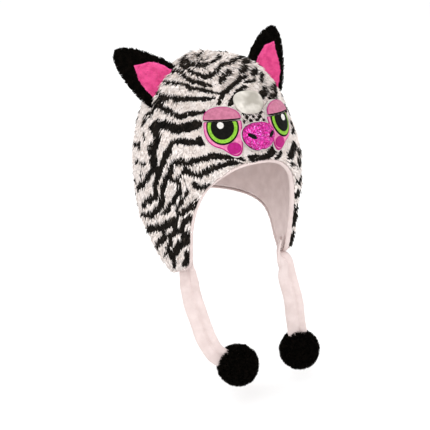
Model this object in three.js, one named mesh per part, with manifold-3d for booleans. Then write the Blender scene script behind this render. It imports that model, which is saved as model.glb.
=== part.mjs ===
// A plush animal hat with ear flaps, as worn: a striped fur crown, two ears, an appliqué face, and two
// fleece ties with pompoms.
// Millimetres. X runs to the wearer's left, Y to the back and Z up.
// The origin is where the inside of the crown rests on top of the head.
import * as THREE from "three";
import Module from "manifold-3d";
import { mergeVertices } from "three/addons/utils/BufferGeometryUtils.js";

const wasm = await Module();
wasm.setup();

const { PI, cos, sin, hypot, sign, abs, min, max } = Math;
const radians = THREE.MathUtils.degToRad;
const lerp = THREE.MathUtils.lerp;
const smooth = (low, high, value) => THREE.MathUtils.smoothstep(value, low, high);
const vector = (x, y, z) => new THREE.Vector3(x, y, z);

// The sewn seat of the hat: the face between the plush and its lining. A dome over the head, and a wall
// below it.
const HALF_WIDTH = 83;
const HALF_DEPTH = 99;
const DOME_HEIGHT = 118;
const DOME_POWER = 2.11; // 2 is an ellipsoid, more is squarer
const SEAT_ABOVE_HEAD = 2.6;
const EQUATOR_Z = SEAT_ABOVE_HEAD - DOME_HEIGHT;
const WALL_SPAN = 150; // height of wall that one unit of the row parameter runs down
const WALL_TAPER = 0.12; // how far the wall closes in on the jaw, as a share, over its lowest reach
const TAPER_REACH = 105;
const SWAY = 4.6; // how far the wall leans to the wearer's left over the same reach

// Cloth. Pile stands out from the seat, and the lining lies inside it.
const SEWING_GAP = 0.15; // half of the gap between two pieces of cloth
const PILE = 7;
const FACE_PILE = 3; // pressed short under the appliqué face
const HEM_PILE = 0.45; // the share of the pile that is left where it rolls under at the hem
const LINING = 2;

// The hem, from the middle of the brow round to the nape: degrees from the front, and height.
const HEM = [
  { around: 0, height: -89 },
  { around: 9, height: -90.5 },
  { around: 17, height: -95 },
  { around: 24, height: -102 },
  { around: 30, height: -110 },
  { around: 35, height: -118.5 },
  { around: 39.5, height: -130 },
  { around: 44.3, height: -147 },
  { around: 48, height: -168 },
  { around: 50.5, height: -191 },
  { around: 53, height: -211 },
  { around: 58, height: -218 },
  { around: 65, height: -222.5 },
  { around: 72, height: -226.5 },
  { around: 78, height: -221.5 },
  { around: 86, height: -213 },
  { around: 95, height: -197 },
  { around: 106, height: -183.5 },
  { around: 121, height: -176.5 },
  { around: 136, height: -173.5 },
  { around: 151, height: -172 },
  { around: 166, height: -171.5 },
  { around: 180, height: -171.5 },
];
const HEM_COLUMNS = 24; // from brow to nape, on each side
const SHELL_ROWS = 11;
const LAST_ROW = 0.035; // the share of the height that the lowest row takes

const hemCurve = new THREE.SplineCurve(HEM.map((row) => new THREE.Vector2(row.around, row.height)));

// The hem at a share: -1 is the nape, 0 the brow, and 1 the nape again. The wearer's right comes first.
function hemAt(share) {
  const found = hemCurve.getPoint(min(1, abs(share)));
  return { around: radians(found.x) * sign(share), height: found.y };
}

function rowAt(height) {
  const rise = (height - EQUATOR_Z) / DOME_HEIGHT;
  return rise > 0 ? Math.acos(rise ** (DOME_POWER / 2)) / (PI / 2) : 1 - (height - EQUATOR_Z) / WALL_SPAN;
}

// A point of the seat: an angle from the front, and a row from 0 at the crown through 1 at the equator.
function seatPoint(around, row) {
  const lowered = max(0, row - 1) * WALL_SPAN;
  const dome = min(1, row) * (PI / 2);
  const height = EQUATOR_Z + DOME_HEIGHT * max(0, cos(dome)) ** (2 / DOME_POWER) - lowered;
  const closing = 1 - WALL_TAPER * (lowered / TAPER_REACH) ** 2;
  const level = sin(dome) ** (2 / DOME_POWER) * closing;
  const reach = level / hypot(sin(around) / HALF_WIDTH, cos(around) / HALF_DEPTH);
  const sway = SWAY * (lowered / TAPER_REACH) ** 1.5;
  return vector(reach * sin(around) + sway, -reach * cos(around), height);
}

function seatNormal(around, row) {
  const step = 1e-3;
  const from = max(row, 0.02);
  const along = seatPoint(around + step, from).sub(seatPoint(around - step, from));
  const down = seatPoint(around, from + step).sub(seatPoint(around, from - step));
  const normal = down.cross(along).normalize();
  return row < 0.02 ? normal.lerp(vector(0, 0, 1), 1 - row / 0.02).normalize() : normal;
}

const offSeat = (around, row, out) => seatPoint(around, row).addScaledVector(seatNormal(around, row), out);

// Pile height: short under the face, full elsewhere, gathered into a whorl beside a dip on the crown, and
// fluffed up on the wearer's left cheek.
const FACE = { height: -54, half_width: 86, half_height: 56, fades_from: 0.75 };
const FACE_START = { low: 15, high: 45 }; // how far to the front the pile starts to shorten, and is short
const GATHERS = [
  { name: "whorl", middle: vector(-21, 6, 0), radius: 15, rise: 2.8 },
  { name: "dip", middle: vector(3, 0, 0), radius: 15, rise: -3.5 },
  { name: "fluff", middle: vector(84, -40, -126), radius: 26, rise: 2.8 },
];
function pileAt(point) {
  const front = smooth(FACE_START.low, FACE_START.high, -point.y);
  const off = hypot(point.x / FACE.half_width, (point.z - FACE.height) / FACE.half_height);
  const even = lerp(PILE, FACE_PILE, front * (1 - smooth(FACE.fades_from, 1, off)));
  const more = ({ middle, radius, rise }) => rise * Math.exp(-((point.distanceTo(middle) / radius) ** 2));
  return GATHERS.reduce((pile, gather) => pile + more(gather), even);
}

// Solids from tables of points

// A closed surface, turned so that its faces point out.
function solid(points, faces) {
  const cross = vector(0, 0, 0);
  const sixfold = ([a, b, c]) => points[a].dot(cross.crossVectors(points[b], points[c]));
  const volume = faces.reduce((sum, face) => sum + sixfold(face), 0);
  const outward = volume > 0 ? faces : faces.map(([a, b, c]) => [a, c, b]);
  const geometry = new THREE.BufferGeometry();
  geometry.setAttribute("position", new THREE.Float32BufferAttribute(points.flatMap((p) => p.toArray()), 3));
  geometry.setIndex(outward.flat());
  return geometry;
}

// Rings of equal length, joined one to the next, with a fan to a point at each end that has one.
// From the ring numbered crossed on, each four-sided patch is split the other way.
function loft(rings, start, end, crossed = rings.length) {
  const count = rings[0].length;
  const points = rings.flat();
  const faces = [];
  for (let r = 0; r + 1 < rings.length; r++) {
    for (let i = 0; i < count; i++) {
      const a = r * count + i;
      const b = r * count + ((i + 1) % count);
      if (r < crossed) faces.push([a, b, b + count], [a, b + count, a + count]);
      else faces.push([a, b, a + count], [b, b + count, a + count]);
    }
  }
  const last = (rings.length - 1) * count;
  if (start) {
    points.push(start);
    for (let i = 0; i < count; i++) faces.push([points.length - 1, (i + 1) % count, i]);
  }
  if (end) {
    points.push(end);
    for (let i = 0; i < count; i++) faces.push([points.length - 1, last + i, last + ((i + 1) % count)]);
  }
  return solid(points, faces);
}

function toManifold(geometry) {
  const bare = new THREE.BufferGeometry();
  bare.setAttribute("position", geometry.getAttribute("position"));
  bare.setIndex(geometry.getIndex());
  const merged = mergeVertices(bare, 1e-4);
  return new wasm.Manifold(
    new wasm.Mesh({
      numProp: 3,
      vertProperties: new Float32Array(merged.attributes.position.array),
      triVerts: new Uint32Array(merged.index.array),
    }),
  );
}

function toGeometry(manifold) {
  const made = manifold.getMesh();
  const geometry = new THREE.BufferGeometry();
  geometry.setAttribute("position", new THREE.BufferAttribute(new Float32Array(made.vertProperties), 3));
  geometry.setIndex(new THREE.BufferAttribute(new Uint32Array(made.triVerts), 1));
  return geometry;
}

const hat = new THREE.Group();

function addPiece(name, geometry, finish) {
  const mesh = new THREE.Mesh(geometry, new THREE.MeshStandardMaterial(finish));
  mesh.name = name;
  hat.add(mesh);
}

const PLUSH = { color: 0xd8cdc8, roughness: 0.95, metalness: 0 };
const FLEECE = { color: 0xf1dfdc, roughness: 0.95, metalness: 0 };
const BLACK_PLUSH = { color: 0x14110f, roughness: 0.9, metalness: 0 };
const PINK_PLUSH = { color: 0xee3f8e, roughness: 0.85, metalness: 0 };
const WHITE_FELT = { color: 0xd9d4c8, roughness: 0.9, metalness: 0 };
const GREEN_THREAD = { color: 0x86c82a, roughness: 0.6, metalness: 0 };
const BLACK_THREAD = { color: 0x121212, roughness: 0.6, metalness: 0 };
const WHITE_THREAD = { color: 0xf2f0ea, roughness: 0.6, metalness: 0 };
const PINK_THREAD = { color: 0xdb7aa5, roughness: 0.6, metalness: 0 };
const MAGENTA_FOIL = { color: 0xc4128c, roughness: 0.35, metalness: 0.3 };
const SILVER_CLOTH = { color: 0xb9bcb4, roughness: 0.35, metalness: 0.8 };

// The shell and the lining: walls that are open below, each between two offsets from the seat

const columns = Array.from({ length: 2 * HEM_COLUMNS }, (_, i) => (i - HEM_COLUMNS) / HEM_COLUMNS);
const even_rows = SHELL_ROWS - 1;
const evenDowns = Array.from({ length: even_rows }, (_, i) => ((i + 1) * (1 - LAST_ROW)) / even_rows);
const downs = [...evenDowns, 1];

// Columns start evenly spaced at the crown and reach the hem where the hem's own points are.
function columnPoint(share, down, out) {
  const hem = hemAt(share);
  const around = lerp(PI * share, hem.around, smooth(0, 1, down));
  return offSeat(around, rowAt(hem.height) * down, out);
}

const ringAt = (down, out) => columns.map((share) => columnPoint(share, down, out(share, down)));

function wallBetween(outer, inner) {
  const outside = downs.map((down) => ringAt(down, outer));
  const inside = downs.map((down) => ringAt(down, inner)).reverse();
  return loft([...outside, ...inside], offSeat(0, 0, outer(0, 0)), offSeat(0, 0, inner(0, 0)), SHELL_ROWS);
}

const pileOut = (share, down) => pileAt(columnPoint(share, down, 0)) * (down === 1 ? HEM_PILE : 1);

addPiece("lining", wallBetween(() => -SEWING_GAP, () => -SEWING_GAP - LINING), FLEECE);

// The plush is four panels, seamed at the brow, at the nape and down each side.
const SEAM_GAP = 0.3;
const PANELS = [
  { name: "front_right", from: -0.5, to: 0 },
  { name: "front_left", from: 0, to: 0.5 },
  { name: "back_left", from: 0.5, to: 1 },
  { name: "back_right", from: -1, to: -0.5 },
];

// The points of one side of a panel, by column. Each edge column steps half the gap away from its seam.
function panelSide({ from, to }, count, out) {
  const pointAt = (i, down) => {
    const share = lerp(from, to, i / count);
    return columnPoint(share, down, out(share, down));
  };
  return Array.from({ length: count + 1 }, (_, i) =>
    downs.map((down) => {
      const here = pointAt(i, down);
      if (i > 0 && i < count) return here;
      const inward = pointAt(i === 0 ? 1 : count - 1, down).sub(here).normalize();
      return here.addScaledVector(inward, SEAM_GAP / 2);
    }),
  ).flat();
}

// The point of a panel at the crown, where two seams meet.
function panelTop({ from, to }, out) {
  const middle = (PI * (from + to)) / 2;
  return offSeat(0, 0, out).add(vector(sin(middle), -cos(middle), 0).multiplyScalar(SEAM_GAP / Math.SQRT2));
}

function panelWall(panel, outer, inner) {
  const count = Math.round((panel.to - panel.from) * HEM_COLUMNS);
  const last = downs.length - 1;
  const points = [...panelSide(panel, count, outer), ...panelSide(panel, count, inner)];
  points.push(panelTop(panel, outer(0, 0)), panelTop(panel, inner(0, 0)));
  const at = (side, i, r) => (side * (count + 1) + i) * downs.length + r;
  const top = (side) => points.length - 2 + side;
  const faces = [];
  const patch = (a, b, c, d, turned) => {
    if (turned) faces.push([a, d, c], [a, c, b]);
    else faces.push([a, b, c], [a, c, d]);
  };
  for (let i = 0; i < count; i++) {
    faces.push([top(0), at(0, i + 1, 0), at(0, i, 0)], [top(1), at(1, i, 0), at(1, i + 1, 0)]);
    for (let r = 0; r < last; r++) {
      for (const side of [0, 1]) {
        patch(at(side, i, r), at(side, i + 1, r), at(side, i + 1, r + 1), at(side, i, r + 1), side === 1);
      }
    }
    patch(at(0, i, last), at(0, i + 1, last), at(1, i + 1, last), at(1, i, last), false);
  }
  for (const i of [0, count]) {
    patch(top(0), at(0, i, 0), at(1, i, 0), top(1), i > 0);
    for (let r = 0; r < last; r++) patch(at(0, i, r), at(0, i, r + 1), at(1, i, r + 1), at(1, i, r), i > 0);
  }
  return solid(points, faces);
}

for (const panel of PANELS) {
  addPiece(`shell_${panel.name}`, panelWall(panel, pileOut, () => SEWING_GAP), PLUSH);
}

// The binding: a roll of fleece that hangs just below the hem all the way round.

const BINDING = { half_width: 2.8, half_height: 1.7, sides: 5, gap: 0.5 };

function hemFrame(share) {
  const here = columnPoint(share, 1, 0);
  const step = 0.004;
  const wrapped = (s) => (s > 1 ? s - 2 : s < -1 ? s + 2 : s);
  const behind = columnPoint(wrapped(share - step), 1, 0);
  const along = columnPoint(wrapped(share + step), 1, 0).sub(behind).normalize();
  const hem = hemAt(share);
  const out = seatNormal(hem.around, rowAt(hem.height));
  const below = along.clone().cross(out).normalize();
  if (below.z > 0) below.negate();
  return { here, out, below };
}

function bindingRing(share) {
  const { here, out, below } = hemFrame(share);
  const drop = BINDING.gap + BINDING.half_height;
  return Array.from({ length: BINDING.sides }, (_, i) => {
    const turn = (2 * PI * (i + 0.5)) / BINDING.sides;
    return here
      .clone()
      .addScaledVector(below, drop + BINDING.half_height * sin(turn))
      .addScaledVector(out, BINDING.half_width * cos(turn));
  });
}

const bindingRings = columns.map(bindingRing);
addPiece("edge_binding", loft([...bindingRings, bindingRings[0]]), FLEECE);

// The appliqué face, laid on the pile in thin layers

const LAYER = 0.7; // felt or stitching
const LAYER_GAP = 0.3;
const PILE_GAP = 0.8;

// Polar outlines: a radius in millimetres at each angle, where 0 points across and a quarter turn points up.
const ellipse = (across, up, power = 2) => (angle) =>
  ((abs(cos(angle)) / across) ** power + (abs(sin(angle)) / up) ** power) ** (-1 / power);

const grown = (outline, more) => (angle) => outline(angle) + more;

// A spot on the seat, with the length of seat that one unit of row covers there.
function spotAt(degrees, row) {
  const around = radians(degrees);
  const step = 1e-3;
  const per_row = seatPoint(around, row + step).distanceTo(seatPoint(around, row - step)) / (2 * step);
  return { around, row, per_row };
}

function onFace(spot, across, up, out) {
  const row = spot.row - up / spot.per_row;
  const step = 0.01;
  const per_radian = seatPoint(step, row).distanceTo(seatPoint(-step, row)) / (2 * step);
  const round = hypot(HALF_WIDTH * cos(spot.around), HALF_DEPTH * sin(spot.around)) / HALF_WIDTH;
  const around = spot.around + across / (per_radian * round);
  return offSeat(around, row, out + pileAt(seatPoint(around, row)));
}

// A plate: rings out from its middle. Its top and bottom above the pile are functions of the share of the
// way out.
function plate(spot, { outline, points, rings, under, over, turn = 0 }) {
  const ring = (share, height) =>
    Array.from({ length: points }, (_, i) => {
      const angle = (2 * PI * i) / points;
      const reach = share * outline(angle);
      return onFace(spot, reach * cos(angle + turn), reach * sin(angle + turn), height(share));
    });
  const top = rings.map((share) => ring(share, over));
  const bottom = rings.map((share) => ring(share, under)).reverse();
  const middle = (height) => onFace(spot, 0, 0, height(0));
  return loft([...top, ...bottom], middle(over), middle(under), rings.length);
}

// A flat layer: number 0 lies on the pile, and each higher number lies on the one below.
function layer(spot, number, shape) {
  const base = PILE_GAP + number * (LAYER + LAYER_GAP);
  return plate(spot, { ...shape, under: () => base, over: () => base + LAYER });
}

const EYE = { around: 23.4, row: 0.674 };
const IRIS_RADIUS = 17.2;
const PUPIL_RADIUS = 12;
const GLINT = { across: -1.4, up: 2, radius: 3.4 };
const LID = { across: -0.3, up: 8.2, half_width: 20, rise: 13.6, fall: 1.4, tilt: 3.5 };
const LID_GAP = 0.6;
const CHEEK = { across: 12.3, up: -20.3, half_width: 7.3, half_height: 5.9 };
const BACKING = { half_width: 22.2, rise: 24.4, fall: 22 };
const BULGE = { reach: 11.5, angle: -57, spread: 22 }; // round the cheek spot
const RIM_MARGIN = 1.6; // the white edge that the backing shows round the pink rim

// Everything above the line where the lid rests is cut off.
function underLid(outline) {
  const rest = LID.up - LID.fall - LID_GAP;
  const tilt = radians(LID.tilt);
  return (angle) => {
    const rise = sin(angle - tilt);
    return rise > 0 ? min(outline(angle), rest / rise) : outline(angle);
  };
}

// Round above, and nearly straight below.
function lidOutline(angle) {
  const half = sin(angle) > 0 ? ellipse(LID.half_width, LID.rise) : ellipse(LID.half_width, LID.fall, 5);
  return half(angle);
}

function backingOutline(angle) {
  const off = angle - radians(BULGE.angle);
  const from_cheek = Math.atan2(sin(off), cos(off));
  const bulge = BULGE.reach * Math.exp(-((from_cheek / radians(BULGE.spread)) ** 2));
  return ellipse(BACKING.half_width, sin(angle) > 0 ? BACKING.rise : BACKING.fall, 2.2)(angle) + bulge;
}

// Outlines are drawn for the wearer's right eye, whose inner corner is across, and mirrored for the left.
function addEye(side, name) {
  const spot = spotAt(side * EYE.around, EYE.row);
  const mirrored = (outline) => (side < 0 ? outline : (angle) => outline(PI - angle));
  const at = (across, up) => {
    const moved = onFace(spot, -side * across, up, 0);
    return spotAt(THREE.MathUtils.radToDeg(Math.atan2(moved.x, -moved.y)), spot.row - up / spot.per_row);
  };
  const add = (part, place, number, shape, finish) => {
    const outlined = { ...shape, outline: mirrored(shape.outline) };
    addPiece(`eye_${part}_${name}`, layer(place, number, outlined), finish);
  };
  add("backing", spot, 0, { outline: backingOutline, points: 26, rings: [0.55, 1] }, WHITE_FELT);
  const rim = underLid(grown(backingOutline, -RIM_MARGIN));
  add("rim", spot, 1, { outline: rim, points: 24, rings: [0.55, 1] }, PINK_THREAD);
  add("iris", spot, 2, { outline: underLid(() => IRIS_RADIUS), points: 24, rings: [0.55, 1] }, GREEN_THREAD);
  add("pupil", spot, 3, { outline: underLid(() => PUPIL_RADIUS), points: 20, rings: [0.6, 1] }, BLACK_THREAD);
  const glint = { outline: ellipse(GLINT.radius, GLINT.radius), points: 10, rings: [1] };
  add("glint", at(GLINT.across, GLINT.up), 4, glint, WHITE_THREAD);
  const lid = { outline: lidOutline, points: 24, rings: [0.5, 1], turn: -side * radians(LID.tilt) };
  add("lid", at(LID.across, LID.up), 3, lid, PINK_THREAD);
  const cheek = { outline: ellipse(CHEEK.half_width, CHEEK.half_height), points: 14, rings: [1] };
  addPiece(`cheek_spot_${name}`, layer(at(CHEEK.across, CHEEK.up), 2, cheek), MAGENTA_FOIL);
}

addEye(-1, "right");
addEye(1, "left");

// The nose: a padded dome on a felt edge, wide above and narrow below, with a nostril on each side.

const NOSE = { row: 0.73, half_width: 17, rise: 13, fall: 14.5, height: 8, wall: 1.2, edge: 1.8 };
const PUFF = { flat: 2.4, round: 0.7 }; // powers: how flat its middle is, and how round its shoulder
const CLEFT = { angle: -86, spread: 10, depth: 1.3 }; // the notch between the two lobes of its lower edge
const NOSTRIL = { across: 9.8, up: -0.5, half_width: 4.6, half_height: 2, tilt: 38, points: 12 };
const NOSTRIL_TOP = 1; // above the nose
const NOSTRIL_GAP = 0.4;
const noseSpot = spotAt(0, NOSE.row);

function noseOutline(angle) {
  const down = sin(angle) < 0;
  const off = angle - radians(CLEFT.angle);
  const from_cleft = Math.atan2(sin(off), cos(off)) / radians(CLEFT.spread);
  const cleft = CLEFT.depth * Math.exp(-(from_cleft ** 2));
  return ellipse(NOSE.half_width, down ? NOSE.fall : NOSE.rise, down ? 1.9 : 2.3)(angle) - cleft;
}

const noseBase = PILE_GAP + 3 * (LAYER + LAYER_GAP);
const puffed = (share) => max(0, 1 - share ** PUFF.flat) ** PUFF.round;
const noseHeight = (share) => noseBase + NOSE.wall + NOSE.height * puffed(share);
const noseShare = (across, up) => hypot(across, up) / noseOutline(Math.atan2(up, across));

const noseEdge = { outline: grown(noseOutline, NOSE.edge), points: 24, rings: [0.6, 1] };
addPiece("nose_backing", layer(noseSpot, 2, noseEdge), WHITE_FELT);
const noseRings = { outline: noseOutline, points: 24, rings: [0.3, 0.55, 0.75, 0.9, 1] };
addPiece("nose", plate(noseSpot, { ...noseRings, under: () => noseBase, over: noseHeight }), MAGENTA_FOIL);

function addNostril(side, name) {
  const tilt = side * radians(NOSTRIL.tilt);
  const shape = ellipse(NOSTRIL.half_width, NOSTRIL.half_height);
  const ring = (lift) =>
    Array.from({ length: NOSTRIL.points }, (_, i) => {
      const angle = (2 * PI * i) / NOSTRIL.points;
      const reach = shape(angle);
      const across = side * NOSTRIL.across + reach * cos(angle + tilt);
      const up = NOSTRIL.up + reach * sin(angle + tilt);
      return onFace(noseSpot, across, up, noseHeight(noseShare(across, up)) + lift);
    });
  const middle = (lift) => {
    const across = side * NOSTRIL.across;
    return onFace(noseSpot, across, NOSTRIL.up, noseHeight(noseShare(across, NOSTRIL.up)) + lift);
  };
  const rings = [ring(NOSTRIL_TOP), ring(NOSTRIL_GAP)];
  addPiece(`nostril_${name}`, loft(rings, middle(NOSTRIL_TOP), middle(NOSTRIL_GAP)), BLACK_THREAD);
}

addNostril(-1, "right");
addNostril(1, "left");

const PATCH = { row: 0.517, half_width: 17, half_height: 13.6 };
const patchOutline = ellipse(PATCH.half_width, PATCH.half_height, 2.3);
const patchShape = { outline: patchOutline, points: 24, rings: [0.5, 1] };
addPiece("forehead_patch", layer(spotAt(0, PATCH.row), 0, patchShape), SILVER_CLOTH);

// The ears: cupped, padded leaves that lean out and back, cut off where they meet the pile

// Each ear as if on the wearer's left: the middle of its foot, the way its foot runs, and its tip.
// Its pink panel lies off the middle by panel_shift, and its tip by tip_shift more. How far up the ear it goes
// is scaled by panel_reach.
const EARS = [
  {
    name: "right",
    side: -1,
    foot: vector(58.4, 17, -26.6),
    base: vector(0.607, -0.143, -0.786),
    tip: vector(97.5, 49, 10),
    panel_shift: -1.5,
    tip_shift: 0,
    panel_reach: 0.91,
  },
  {
    name: "left",
    side: 1,
    foot: vector(62.5, 7.5, -23),
    base: vector(0.604, -0.305, -0.735),
    tip: vector(92, 29, 23),
    panel_shift: 4,
    tip_shift: -4.5,
    panel_reach: 1.08,
  },
];
const EAR_GAP = 0.3;

// From inside the crown to the tip: share of the length, half the width, sideways shift, half the thickness,
// and cupping.
const EAR_SECTIONS = [
  { along: -0.3, half: 27, shift: 0.7, thick: 4.2, cup: 9 },
  { along: 0, half: 26.5, shift: 1, thick: 4.2, cup: 8 },
  { along: 0.22, half: 25.4, shift: 1.2, thick: 4.2, cup: 6.5 },
  { along: 0.42, half: 22.6, shift: 1.3, thick: 4, cup: 5 },
  { along: 0.6, half: 19.2, shift: 1.3, thick: 3.8, cup: 3.5 },
  { along: 0.76, half: 15.3, shift: 1.3, thick: 3.5, cup: 2.2 },
  { along: 0.9, half: 10.4, shift: 1.3, thick: 3.2, cup: 1.2 },
  { along: 0.98, half: 6.4, shift: 1.2, thick: 2.4, cup: 0.5 },
];
const EAR_TIP = 1.03;
const EAR_SIDES = 16;

// The pink panel on the front of the ear: share of the length, and its two edges across from the middle.
const PANEL_SECTIONS = [
  { along: -0.25, upper: -18.5, lower: 18.2 },
  { along: 0, upper: -18.3, lower: 17.8 },
  { along: 0.16, upper: -17.8, lower: 17 },
  { along: 0.32, upper: -15, lower: 15 },
  { along: 0.46, upper: -10.8, lower: 12 },
  { along: 0.57, upper: -3.5, lower: 6.5 },
];
const PANEL_TIP = { along: 0.68, across: 2.5 };
const PANEL = { gap: 0.5, thick: 1.2, across: 6, shift_from: 0.25 };

// Points of an ear: a share of its length, a distance across it, and a distance out from its front.
function earFrame({ side, foot, base, tip }) {
  const axis = tip.clone().sub(foot);
  const front = base.clone().cross(axis).normalize();
  return (along, across, out) => {
    const made = foot.clone().addScaledVector(axis, along);
    made.addScaledVector(base, across).addScaledVector(front, out);
    return made.setX(side * made.x);
  };
}

// The section of the ear at a share of its length, between the rows of its table.
function earSection(along) {
  const next = max(1, EAR_SECTIONS.findIndex((row) => row.along >= along));
  const [a, b] = [EAR_SECTIONS[next - 1], EAR_SECTIONS[next]];
  const share = (along - a.along) / (b.along - a.along);
  const mix = (key) => lerp(a[key], b[key], share);
  return { half: mix("half"), shift: mix("shift"), thick: mix("thick"), cup: mix("cup") };
}

function earGeometry(point) {
  const rings = EAR_SECTIONS.map(({ along, half, shift, thick, cup }) =>
    Array.from({ length: EAR_SIDES }, (_, i) => {
      const turn = (2 * PI * i) / EAR_SIDES;
      const across = cos(turn);
      return point(along, shift + half * across, cup * across * across + thick * sin(turn));
    }),
  );
  const middle = EAR_SECTIONS[0];
  return loft(rings, point(middle.along, middle.shift, 0), point(EAR_TIP, 0, 0));
}

function panelGeometry(point, { panel_shift, tip_shift, panel_reach }) {
  const front = (height, aside, lift) => {
    const along = height * panel_reach;
    const across = aside + panel_shift + tip_shift * smooth(PANEL.shift_from, PANEL_TIP.along, height);
    const { half, shift, thick, cup } = earSection(along);
    const off = (across - shift) / half;
    return point(along, across, cup * off * off + thick * Math.sqrt(max(0, 1 - off * off)) + lift);
  };
  const rings = PANEL_SECTIONS.map(({ along, upper, lower }) => {
    const steps = Array.from({ length: PANEL.across }, (_, i) => i / (PANEL.across - 1));
    const spread = steps.map((step) => lerp(upper, lower, step));
    const over = spread.map((across) => front(along, across, PANEL.gap + PANEL.thick));
    const under = spread.map((across) => front(along, across, PANEL.gap)).reverse();
    return [...over, ...under];
  });
  const first = PANEL_SECTIONS[0];
  const start = front(first.along, (first.upper + first.lower) / 2, PANEL.gap + PANEL.thick / 2);
  return loft(rings, start, front(PANEL_TIP.along, PANEL_TIP.across, PANEL.gap + PANEL.thick / 2));
}

// Everything that the pile covers, as one solid, to cut the ears to fit the crown.
const crownRings = downs.map((down) => ringAt(down, (share) => pileOut(share, down) + EAR_GAP));
const crownFoot = vector(0, 0, HEM[HEM.length - 1].height);
const crown = toManifold(loft(crownRings, offSeat(0, 0, pileOut(0, 0) + EAR_GAP), crownFoot));
const cutToCrown = (geometry) => toGeometry(toManifold(geometry).subtract(crown));

for (const ear of EARS) {
  const point = earFrame(ear);
  addPiece(`ear_${ear.name}`, cutToCrown(earGeometry(point)), BLACK_PLUSH);
  addPiece(`ear_inner_${ear.name}`, cutToCrown(panelGeometry(point, ear)), PINK_PLUSH);
}

// The ties: flat folded straps of fleece, lapped inside the flaps, creased along their fronts

const TIE = { half_width: 11.5, half_thick: 2.6, stations: 13 };
const TIE_TOP = { width: 0.85, thickness: 0.5, reach: 0.25 }; // pressed flat where it is sewn, as shares

// Round the strap: shares of half its width and of half its thickness.
const TIE_SECTION = [
  { across: -1, out: 0 },
  { across: -0.88, out: 0.75 },
  { across: -0.45, out: 1 },
  { across: 0, out: 0.95 },
  { across: 0.22, out: 0.4 },
  { across: 0.45, out: 0.95 },
  { across: 0.88, out: 0.75 },
  { across: 1, out: 0 },
  { across: 0.88, out: -0.75 },
  { across: 0.3, out: -1 },
  { across: -0.3, out: -1 },
  { across: -0.88, out: -0.75 },
];

// The middle of each strap, and the way that its front faces in degrees from the hat's front.
// A lap lies inside its flap: degrees from the front as if on the wearer's left, height, and depth below the
// seat.
const TIES = {
  right: {
    side: -1,
    lap: [
      { around: 58, height: -209, depth: 4.8, facing: -66 },
      { around: 62, height: -228, depth: 7.4, facing: -61 },
    ],
    hang: [
      { x: -54.8, y: -39.5, z: -242, facing: -44 },
      { x: -56.5, y: -51, z: -257, facing: -34 },
      { x: -52.5, y: -60, z: -279, facing: -28 },
      { x: -48.5, y: -69, z: -299, facing: -26 },
      { x: -40.5, y: -77, z: -315, facing: -26 },
      { x: -27, y: -82, z: -324, facing: -26 },
    ],
    pompom: { x: -17.3, y: -85, z: -330 },
  },
  left: {
    side: 1,
    lap: [
      { around: 56, height: -206.5, depth: 7, facing: 60 },
      { around: 53.3, height: -224.5, depth: 7.5, facing: 58.5 },
    ],
    hang: [
      { x: 68.5, y: -43.5, z: -236.5, facing: 19.5 },
      { x: 71, y: -44, z: -253.5, facing: -2 },
      { x: 76, y: -50, z: -281, facing: -12 },
      { x: 78.7, y: -52, z: -307, facing: -16 },
      { x: 80.7, y: -54, z: -324, facing: -16 },
      { x: 82, y: -54.6, z: -334, facing: -16 },
    ],
    pompom: { x: 82.8, y: -55, z: -344 },
  },
};

function tieStations({ side, lap, hang }) {
  const inside = ({ around, height, depth, facing }) => ({
    point: offSeat(side * radians(around), rowAt(height), -depth),
    facing,
  });
  const below = ({ x, y, z, facing }) => ({ point: vector(x, y, z), facing });
  return [...lap.map(inside), ...hang.map(below)];
}

function tieGeometry(tie, more) {
  const stations = tieStations(tie);
  const line = new THREE.CatmullRomCurve3(stations.map(({ point }) => point));
  const facings = new THREE.SplineCurve(stations.map(({ facing }, i) => new THREE.Vector2(i, facing)));
  const rings = Array.from({ length: TIE.stations }, (_, i) => {
    const share = i / (TIE.stations - 1);
    const along = line.getTangent(share);
    const facing = radians(facings.getPoint(share).y);
    const out = vector(sin(facing), -cos(facing), 0);
    out.addScaledVector(along, -out.dot(along)).normalize();
    const aside = out.clone().cross(along);
    const middle = line.getPoint(share);
    const full = smooth(0, TIE_TOP.reach, share);
    const half_width = TIE.half_width * lerp(TIE_TOP.width, 1, full) + more;
    const half_thick = TIE.half_thick * lerp(TIE_TOP.thickness, 1, full) + more;
    return TIE_SECTION.map((corner) =>
      middle
        .clone()
        .addScaledVector(aside, corner.across * half_width)
        .addScaledVector(out, corner.out * half_thick),
    );
  });
  const end = line.getPoint(1).addScaledVector(line.getTangent(1), 1 + 2 * more);
  return loft(rings, line.getPoint(0), end);
}

// The pompoms: locks of yarn fused to a head

const POMPOM = { head: 21.4, reach: 24.5, locks: 26, root: 15, root_radius: 8 };
const LOCK_TIP = { radius: 2.4, height: 0.6 };
const LOCK_STEP = 0.7; // locks are of three lengths, this far apart
const LOCK_SIDES = 4;
const POMPOM_GAP = 0.35;

function lockAt(direction, reach) {
  const turn = new THREE.Quaternion().setFromUnitVectors(vector(0, 0, 1), direction);
  const ring = (height, radius) =>
    Array.from({ length: LOCK_SIDES }, (_, i) => {
      const angle = (2 * PI * i) / LOCK_SIDES;
      return vector(radius * cos(angle), radius * sin(angle), height).applyQuaternion(turn);
    });
  const rings = [ring(POMPOM.root, POMPOM.root_radius), ring(reach - LOCK_TIP.height, LOCK_TIP.radius)];
  return loft(rings, direction.clone().multiplyScalar(POMPOM.root), direction.clone().multiplyScalar(reach));
}

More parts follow.
